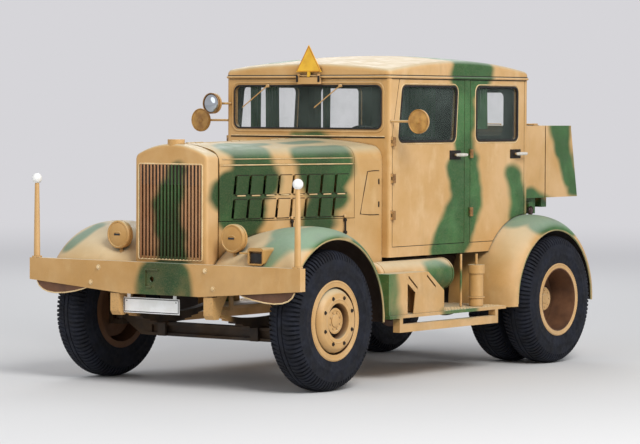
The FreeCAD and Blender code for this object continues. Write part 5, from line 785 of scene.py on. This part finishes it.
# Y of the window's front and back, lean of its front edge, Y of the door's front and back
DOORS = {"front": (-0.3785, 0.3855, 0.055, -0.4525, 0.5205), "rear": (0.6895, 1.2855, 0.0, 0.6055, 1.3855)}
WINDOW_LOW, WINDOW_HIGH, WINDOW_LIP = 1.767, 2.185, 0.017
DOOR_X, DOOR_INSIDE_X = 0.77, 0.7345
HANDLE_X, HANDLE_Z, HANDLE_END = 0.815, 1.66, 0.121
HINGE_LOWS = {"front": (1.1808, 1.4569, 1.733), "rear": (1.1808, 1.6326)}
HINGE_X, HINGE_THIRD = 0.782, 0.0233
SLEEVE = HINGE_THIRD - 0.0012
SLEEVE_RING = ((0, 0.009), (0, 0.0155), (0.002, 0.017), (SLEEVE - 0.002, 0.017), (SLEEVE, 0.0155),
               (SLEEVE, 0.009))
HANDLE_ROSE = ((0, 0.02), (0.01, 0.02), (0.014, 0.014), (0.02, 0.012), (0.02, 0))
GRIP_END = ((-0.004, 0.012), (0.004, 0.011), (0.008, 0.006), (0.009, 0))


def ring_in_x(x, outline, radius):
    return rounded_outline([(x, y, z) for y, z in outline], radius)


for side, sign in SIDES:
    for which, (front, back, lean, door_front, door_back) in DOORS.items():
        body = f"door_{which}_{side}"
        top_front, top_back = front + lean, back + lean * 0.6
        low, high = WINDOW_LOW - WINDOW_LIP, WINDOW_HIGH + WINDOW_LIP
        window = ((front, WINDOW_LOW), (top_front, WINDOW_HIGH), (top_back, WINDOW_HIGH), (back, WINDOW_LOW))
        wide = ((front - WINDOW_LIP, low), (top_front - 0.015, high), (top_back + WINDOW_LIP, high),
                (back + WINDOW_LIP, low))
        piece = Piece()
        piece.hoop(ring_in_x((DOOR_X - 0.001) * sign, window, 0.046), 0.009, LEFT)
        piece.hoop(ring_in_x(DOOR_INSIDE_X * sign, window, 0.046), 0.007, LEFT)
        piece.done(f"{which}_window_rubber_{side}", "gasket", body, "black_plastic")
        piece = Piece()
        piece.hoop(ring_in_x((DOOR_X - 0.001) * sign, wide, 0.06), 0.005, LEFT)
        piece.done(f"{which}_window_moulding_{side}", "edge", body)
        end = door_back - 0.156
        plate, grip = Piece(), Piece()
        low_x, high_x = sorted((DOOR_X * sign - 0.001 * sign, (DOOR_X + 0.006) * sign))
        plate.block((low_x, end - 0.05, HANDLE_Z - 0.036), (high_x, end + 0.1, HANDLE_Z + 0.034), 0.0025)
        plate.lathe((DOOR_X * sign, end, HANDLE_Z), (sign, 0, 0), HANDLE_ROSE, 20)
        plate.done(f"{which}_handle_plate_{side}", "dark", body, "black_plastic")
        x = HANDLE_X * sign
        grip.sweep([(x, end + run, HANDLE_Z) for run in (-0.012, 0.02, 0.09, HANDLE_END)],
                   [0.0115, 0.0135, 0.013, 0.012], sides=12)
        grip.lathe((x, end + HANDLE_END, HANDLE_Z), BEHIND, GRIP_END, 12)
        grip.lathe((x, end - 0.012, HANDLE_Z), AHEAD, ((0, 0.01), (0.005, 0.007), (0.006, 0)), 12)
        grip.done(f"{which}_handle_grip_{side}", "bright", body, "white_paint")
        cab_sleeves, door_sleeves = Piece(), Piece()
        pin = Vector((HINGE_X * sign, door_front - 0.0025, 0))
        for z in HINGE_LOWS[which]:
            for third, piece in enumerate((cab_sleeves, door_sleeves, cab_sleeves)):
                piece.lathe(pin + Vector((0, 0, z + third * HINGE_THIRD + 0.0006)), UP, SLEEVE_RING, 20)
        door_sleeves.done(f"{which}_door_sleeves_{side}", "hinge", body)
        cab_sleeves.done(f"{which}_hinge_sleeves_{side}", "hinge")


def ring_in_z(z, grow, radius):
    """The cab's outline seen from above, grown by a length."""
    x, y0, y1 = 0.778 + grow, -0.5025 - grow, 1.4505 + grow
    return rounded_outline(((-x, y0, z), (x, y0, z), (x, y1, z), (-x, y1, z)), radius, 8)


piece = Piece()
piece.hoop(ring_in_z(2.2525, 0.001, 0.051), 0.0115, flat=0.85)
piece.done("roof_drip", "cab")
piece = Piece()
for z, grow, radius in ((2.2655, 0.0, 0.05), (2.2405, -0.006, 0.046)):
    piece.hoop(ring_in_z(z, grow, radius), 0.0035, sides=6)
piece.done("roof_drip_seams", "gasket", slot="black_plastic")

# Flaps in the scuttle's sides, with two hinges on their back edge
FLAP_BACK = -0.5265
FLAP = ((FLAP_BACK, 1.551), (-0.5845, 1.551), (-0.6365, 1.545), (-0.6695, 1.4), (-0.7055, 1.23),
        (-0.6145, 1.222), (FLAP_BACK, 1.222))
FLAP_HINGE = ((-0.02, 0.004), (-0.02, 0.006), (0.02, 0.006), (0.02, 0.004))


def scuttle_side(y):
    return HOOD_BACK_X + (y - HOOD_BACK_Y) / 0.27 * 0.063


piece = Piece()
for side, sign in SIDES:
    piece.sweep([((scuttle_side(y) + 0.0005) * sign, y, z) for y, z in FLAP], 0.0032, sides=6)
    for z in (1.3, 1.47):
        piece.lathe((scuttle_side(FLAP_BACK) * sign, FLAP_BACK, z), UP, FLAP_HINGE, 10)
piece.done("scuttle_flaps", "dark")

# Curtain rods on both sides and at the back, and the gathered curtains on them
ROD_Z, ROD_X, BACK_ROD_Y = 2.226, 0.712, 1.388
ROD_ENDS, BACK_ROD_ENDS = (-0.4, 1.36), (-0.62, -0.07)
piece = Piece()
for sign in (1, -1):
    piece.sweep([(ROD_X * sign, y, ROD_Z) for y in ROD_ENDS], 0.0035)
    for y in (-0.4, 0.56, 1.36):
        piece.sweep(((0.735 * sign, y, ROD_Z - 0.012), (0.722 * sign, y, ROD_Z - 0.01),
                     (ROD_X * sign, y, ROD_Z)), 0.004)
piece.sweep([(x, BACK_ROD_Y, ROD_Z) for x in BACK_ROD_ENDS], 0.0035)
for x in BACK_ROD_ENDS:
    piece.sweep(((x, 1.4075, ROD_Z - 0.012), (x, BACK_ROD_Y + 0.008, ROD_Z - 0.01), (x, BACK_ROD_Y, ROD_Z)),
                0.004, up=LEFT)
piece.done("curtain_rods", "steel", slot="black_plastic")


def curtain(name, x, first, last, low, folds, depth, back=False):
    """A curtain gathered on its rod, in folds that open a little towards its hem."""
    piece = Piece()
    across, down = folds * 12, 24
    rows = []
    for j in range(down + 1):
        v = j / down
        row = []
        for i in range(across + 1):
            u = i / across
            wave = sin(2 * pi * folds * u) + 0.35 * sin(2 * pi * (folds * 0.37) * u + 2.1 * v)
            swing = depth * (0.45 + 0.55 * v) * wave
            y = first + (last - first) * (u + 0.012 * sin(2 * pi * folds * 2 * u))
            z = ROD_Z + 0.004 - (ROD_Z + 0.004 - low) * v
            row.append(Vector((y, x + swing, z) if back else (x + swing, y, z)))
        rows.append([piece.vert(p) for p in row])
    piece.skin(rows)
    made = piece.done(name, "curtain", slot="cab_lining", angle=80)


# The picture's right back window is dark, so a curtain is drawn over it
curtain("curtain_back_right", BACK_ROD_Y, -0.6, -0.085, 1.782, 9, 0.008, True)
curtain("curtain_rear_left", ROD_X, 0.735, 0.935, 1.857, 5, 0.01)
curtain("curtain_front_right", -ROD_X, -0.268, -0.13, 1.85, 4, 0.01)
curtain("curtain_middle_right", -ROD_X, -0.075, 0.105, 1.85, 5, 0.01)
curtain("curtain_rear_right", -ROD_X, 0.69, 0.8, 1.857, 4, 0.01)

# Mirrors: a lip and a boss in front, the glass behind
MIRROR_X, MIRROR_Y, MIRROR_Z = 1.03, -0.4952, 1.92
MIRROR_LIP = ((-0.004, 0.0905), (0.002, 0.0905), (0.005, 0.087), (0.002, 0.083), (-0.001, 0.081))
MIRROR_BOSS = ((-0.001, 0.022), (0.006, 0.02), (0.01, 0.012), (0.01, 0))
MIRROR_DISH = ((-0.001, 0.0815), (0.0015, 0.0795), (0.0035, 0.045), (0.004, 0.018))
for side, sign in SIDES:
    spot = Vector((MIRROR_X * sign, MIRROR_Y, MIRROR_Z))
    piece = Piece()
    for profile, sides in ((MIRROR_LIP, 40), (MIRROR_BOSS, 24), (MIRROR_DISH, 40)):
        piece.lathe(spot, AHEAD, profile, sides)
    piece.done(f"mirror_back_{side}", "ochre")
    piece = Piece()
    piece.lathe(spot, BEHIND, ((0.0135, 0.084), (0.0152, 0.083), (0.0156, 0)), 40)
    piece.done(f"mirror_glass_{side}", "mirror", slot="glass")

SEARCH_LAMP = (-0.835, -0.6095, 2.05)
LAMP_GLASS = ((-0.001, 0.072), (0.006, 0.066), (0.013, 0.045), (0.016, 0.02), (0.0165, 0))
LAMP_RING = ((-0.012, 0.0805), (0.004, 0.0815), (0.008, 0.078), (0.006, 0.072), (-0.001, 0.071))
for part, profile, key, slot in (("glass", LAMP_GLASS, "mirror", "glass"),
                                 ("ring", LAMP_RING, "hinge", "tan_paint")):
    piece = Piece()
    piece.lathe(SEARCH_LAMP, AHEAD, profile, 40)
    piece.done(f"search_lamp_{part}", key, slot=slot)

# The sign's border, and the dark clips of its bracket
SIGN = ((-0.075, 2.29), (0.161, 2.29), (0.043, 2.495))
SIGN_MIDDLE_X, SIGN_MIDDLE_Z = 0.043, 2.362
piece = Piece()
for y in (-0.5312, -0.5238):
    inset = [(x + (SIGN_MIDDLE_X - x) * 0.055, y, z + (SIGN_MIDDLE_Z - z) * 0.075) for x, z in SIGN]
    piece.hoop(rounded_outline(inset, 0.004, 3), 0.0042, BEHIND, 0.4)
piece.done("sign_border", "amber", "tow_sign", "yellow_paint")
piece = Piece()
for x in (-0.058, 0.144):
    piece.block((x - 0.01, -0.544, 2.214), (x + 0.01, -0.5385, 2.262))
piece.done("sign_clips", "dark", slot="black_plastic")

# Lenses on the lamp plates behind the cab
TAIL_RIM = ((-0.002, 0.038), (0.006, 0.037), (0.01, 0.033), (0.006, 0.031), (0.004, 0.03))
TAIL_LENS = ((0.002, 0.031), (0.008, 0.026), (0.011, 0.014), (0.012, 0))
for part, profile, key in (("rims", TAIL_RIM, "dark"), ("lenses", TAIL_LENS, "red")):
    piece = Piece()
    for sign in (1, -1):
        piece.lathe((0.706 * sign, 1.589, 1.197), (sign, 0, 0), profile, 32)
    piece.done(f"tail_lamp_{part}", key, slot="black_plastic")

# Raised studs on the running boards, where a boot lands, but not under the jack
BOARD_TOP = 0.494
STUD = ((-0.001, 0.013), (0.0025, 0.01), (0.0025, 0))
piece = Piece()
for sign in (1, -1):
    for row in range(5):
        for column in range(20):
            x, y = (0.845 + row * 0.044) * sign, -0.135 + column * 0.042 + (row % 2) * 0.021
            if not (0.855 < x < 1.005 and 0.3 < y < 0.535):
                piece.lathe((x, y, BOARD_TOP), UP, STUD, 4, pi / 4 * row)
piece.done("board_studs", "edge")

# Light beads along the lips of the fenders, a painted highlight: axle, X, radius, first and last angle
BEADS = ((FRONT_AXLE_Y, 1.1165, 0.5835, -4, 148), (REAR_AXLE_Y, 1.0525, 0.5505, -3, 183))
piece = Piece()
for sign in (1, -1):
    for axle_y, x, radius, first, last in BEADS:
        angles = [radians(degree) for degree in range(first, last + 1, 4)]
        piece.sweep([(x * sign, axle_y + radius * cos(a), TYRE_RADIUS + radius * sin(a)) for a in angles],
                    0.0065, up=LEFT)
piece.done("fender_beads", "bead")

# A bright lip round the grille, a painted highlight. The shell's opening ends lower than the picture's, so
# bars and a dark ground of painted shade carry it on upwards.
GRILLE_HALF, GRILLE_LOW, GRILLE_TOP, GRILLE_BARS = 0.287, 0.926, 1.606, 18
piece = Piece()
piece.hoop(ring_in_y(-2.1415, -0.292, 0.292, 0.924, GRILLE_TOP + 0.006, 0.012), 0.0065, BEHIND)
piece.done("grille_frame", "edge")
piece = Piece()
for n in range(GRILLE_BARS):
    x = -GRILLE_HALF + 2 * GRILLE_HALF * (n + 0.5) / GRILLE_BARS
    piece.block((x - 0.007, -2.1485, GRILLE_LOW), (x + 0.007, -2.1405, GRILLE_TOP + 0.004))
piece.done("grille_bars_front", "bars")
piece = Piece()
piece.block((-0.289, -2.1418, 1.462), (0.289, -2.1402, GRILLE_TOP + 0.004), 0.0)
piece.done("grille_ground", "dark", slot="black_plastic")

# The fenders' front tips, seen under the bumper's ends, painted dark brown as shade
TIP_EDGE = ((0.68, 0.715), (0.74, 0.692), (0.82, 0.672), (0.92, 0.657), (1.01, 0.652), (1.08, 0.659),
            (1.13, 0.675), (1.165, 0.7), (1.185, 0.735))
TIP_Y, TIP_TOP = (-2.241, -2.235), 0.79
for side, sign in SIDES:
    tip, lip = Piece(), Piece()
    low_front, low_back = ([tip.vert((x * sign, y, z)) for x, z in TIP_EDGE] for y in TIP_Y)
    top_front, top_back = ([tip.vert((x * sign, y, TIP_TOP)) for x, z in TIP_EDGE] for y in TIP_Y)
    rows = (low_front, top_front, top_back, low_back)
    tip.skin((*rows, low_front))
    for n in (0, -1):
        tip.mesh.faces.new([row[n] for row in rows])
    lip.sweep([(x * sign, -2.239, z) for x, z in TIP_EDGE], 0.0055)
    tip.done(f"fender_tip_{side}", "deep_painted_shade")
    lip.done(f"fender_tip_lip_{side}", "edge")

# A moulding across the cab's front under the screen: a line of painted shade under a lip of painted highlight
for z, key, label in ((1.797, "dark", "line"), (1.806, "edge", "lip")):
    piece = Piece()
    piece.sweep([(x, CAB_FRONT - 0.001, z) for x in (-0.725, 0.725)], 0.0045)
    piece.done(f"screen_moulding_{label}", key)

# Painted highlights on the hood halves: light lips under the upper louvres and along the moulding; and lines
# of painted shade along the louvres' edges
LOUVRE_FRONT, LOUVRE_PITCH, LOUVRE_WIDTH = -1.8725, 0.13175, 0.1137
# Low edge, high edge, and how far the lower row stands ahead
LOUVRE_ROWS = ((1.392, 1.528, 0.0), (1.22, 1.356, -0.018))


def hood_line(piece, sign, first, last, z, lift, thick):
    piece.sweep([on_hood(sign, y, z, lift) for y in (first, last)], thick, sides=6)


for side, sign in SIDES:
    lips, lines = Piece(), Piece()
    for column in range(8):
        for low, high, drift in LOUVRE_ROWS:
            start = LOUVRE_FRONT + LOUVRE_PITCH * column + drift
            end = start + LOUVRE_WIDTH
            if drift == 0.0:
                hood_line(lips, sign, start + 0.02, end - 0.02, low - 0.008, 0.0025, 0.005)
            hood_line(lines, sign, start + 0.004, end, low - 0.002, 0.0025, 0.0028)
            hood_line(lines, sign, start + 0.018, end + 0.014, high + 0.003, 0.0015, 0.0026)
    for z, thick, lift in ((1.6055, 0.0045, 0.0045), (1.649, 0.0028, 0.0)):
        hood_line(lips, sign, HOOD_FRONT_Y + 0.03, HOOD_BACK_Y - 0.02, z, lift, thick)
    lips.done(f"hood_lips_{side}", "edge", f"hood_{side}")
    lines.done(f"hood_lines_{side}", "dark", f"hood_{side}", "black_plastic")

# ---- seats

# Benches: front edge, back edge
BENCHES = (("front", 0.0355, 0.4855), ("rear", 0.8055, 1.2855))
SEAT_LOW, SEAT_TOP, BACK_THICK, BACK_HIGH, SEAT_HALF = 1.205, 1.325, 0.11, 1.76, 0.66
CHANNELS, ACROSS, DEEP, LAYERS = 10, 48, 12, 6


def cushion(name, low, high, upright):
    """A crowned cushion with sewn channels, pulled in between its corners."""
    low, high = Vector(low), Vector(high)
    piece = Piece()
    sizes = high - low

    def point(i, j, k):
        u, v, w = i / ACROSS * 2 - 1, j / DEEP * 2 - 1, k / LAYERS
        edge = min(1.0, (1 - abs(u)) * 9) ** 0.5 * min(1.0, (1 - abs(v)) * 3.2) ** 0.5
        seam = abs(sin(pi * CHANNELS * (u + 1) / 2)) ** 0.35
        crown = (0.55 + 0.45 * edge) * (0.86 + 0.14 * seam)
        pull = 1 - 0.012 * (1 - abs(2 * w - 1))
        x = low.x + sizes.x * (0.5 + 0.5 * u * (1 - 0.006 * (1 - v * v)))
        if upright:
            return Vector((x, high.y - sizes.y * w * crown, low.z + sizes.z * (0.5 + 0.5 * v * pull)))
        return Vector((x, low.y + sizes.y * (0.5 + 0.5 * v * pull), low.z + sizes.z * w * crown))

    # A skin round the long way, and the two ends
    rim = [(j, 0) for j in range(DEEP)] + [(DEEP, k) for k in range(LAYERS)]
    rim += [(DEEP - j, LAYERS - k) for j, k in rim]
    piece.skin([[piece.vert(point(i, j, k)) for j, k in rim] for i in range(ACROSS + 1)], True)
    for i in (0, ACROSS):
        piece.skin([[piece.vert(point(i, j, k)) for k in range(LAYERS + 1)] for j in range(DEEP + 1)])
    made = piece.done(name, "leather", slot="seat_leather", angle=60)
    soften = made.modifiers.new("soften", "SUBSURF")
    soften.levels = soften.render_levels = 1
    return made


for name, first, last in BENCHES:
    seat = cushion(f"{name}_bench_seat", (-SEAT_HALF, first, SEAT_LOW), (SEAT_HALF, last, SEAT_TOP), False)
    low = (-SEAT_HALF, last - BACK_THICK, SEAT_TOP)
    cushion(f"{name}_bench_back", low, (SEAT_HALF, last, BACK_HIGH), True)
    if name == "front":
        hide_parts("seat_cushions")

# ---- light, floor and camera


def area_light(name, place, size, power, colour=(1, 1, 1)):
    """A round lamp that looks at the vehicle's middle."""
    data = bpy.data.lights.new(name, "AREA")
    data.shape = "DISK"
    data.size = size
    data.energy = power
    data.color = colour
    lamp = put_in_scene(name, data)
    lamp.location = place
    lamp.rotation_euler = (Vector((0, 0, 1)) - Vector(place)).to_track_quat("-Z", "Y").to_euler()


area_light("key", (11, -7, 11), 7, 1780, (1.0, 0.985, 0.96))
area_light("fill", (-5, -13, 6), 8, 210, (0.97, 0.985, 1.0))
area_light("rim", (-8, 10, 9), 7, 430)

# The world lights the vehicle softly, and the camera, gloss and glass see a plain backdrop
studio = Graph("studio", True)
bpy.context.scene.world = studio.owner
studio.set(Color=(0.93, 0.95, 1.0, 1), Strength=0.52)
rays = studio.node("LightPath").outputs
seen = rays["Is Camera Ray"]
for ray in ("Is Glossy Ray", "Is Transmission Ray"):
    seen = studio.math("MAXIMUM", seen, rays[ray])
studio.show(seen, studio.node("Background", {"Color": BACKDROP}))

# A pale floor near the vehicle that fades into the backdrop's colour with distance
ground = Graph("studio_floor")
ground.set(Base_Color=screen(219, 219, 219), Roughness=0.9, Specular_IOR_Level=0.1)
fade = ground.ramp(ground.vector("LENGTH", ground.place()), 4.0, 30.0)
ground.show(fade, ground.node("Emission", {"Color": BACKDROP, "Strength": 1.0}))
floor_mesh = bmesh.new()
bmesh.ops.create_circle(floor_mesh, cap_ends=True, radius=400, segments=96)
floor_data = bpy.data.meshes.new("floor")
floor_mesh.to_mesh(floor_data)
floor_mesh.free()
floor_data.materials.append(ground.owner)
put_in_scene("floor", floor_data)

CAMERA_PLACE = Vector((13.473, -18.7975, 2.028))
CAMERA_TARGET = Vector((0.0201, -0.3445, 1.1436))
CAMERA_ROLL = 0.22
camera_data = bpy.data.cameras.new("camera")
camera_data.sensor_width = 36
camera_data.lens = 167.65
camera_data.clip_end = 1000
camera = put_in_scene("camera", camera_data)
camera.location = CAMERA_PLACE
turn = (CAMERA_TARGET - CAMERA_PLACE).to_track_quat("-Z", "Y").to_matrix()
camera.rotation_euler = (turn @ Matrix.Rotation(radians(CAMERA_ROLL), 3, "Z")).to_euler()
bpy.context.scene.camera = camera
bpy.context.scene.view_settings.view_transform = "Standard"
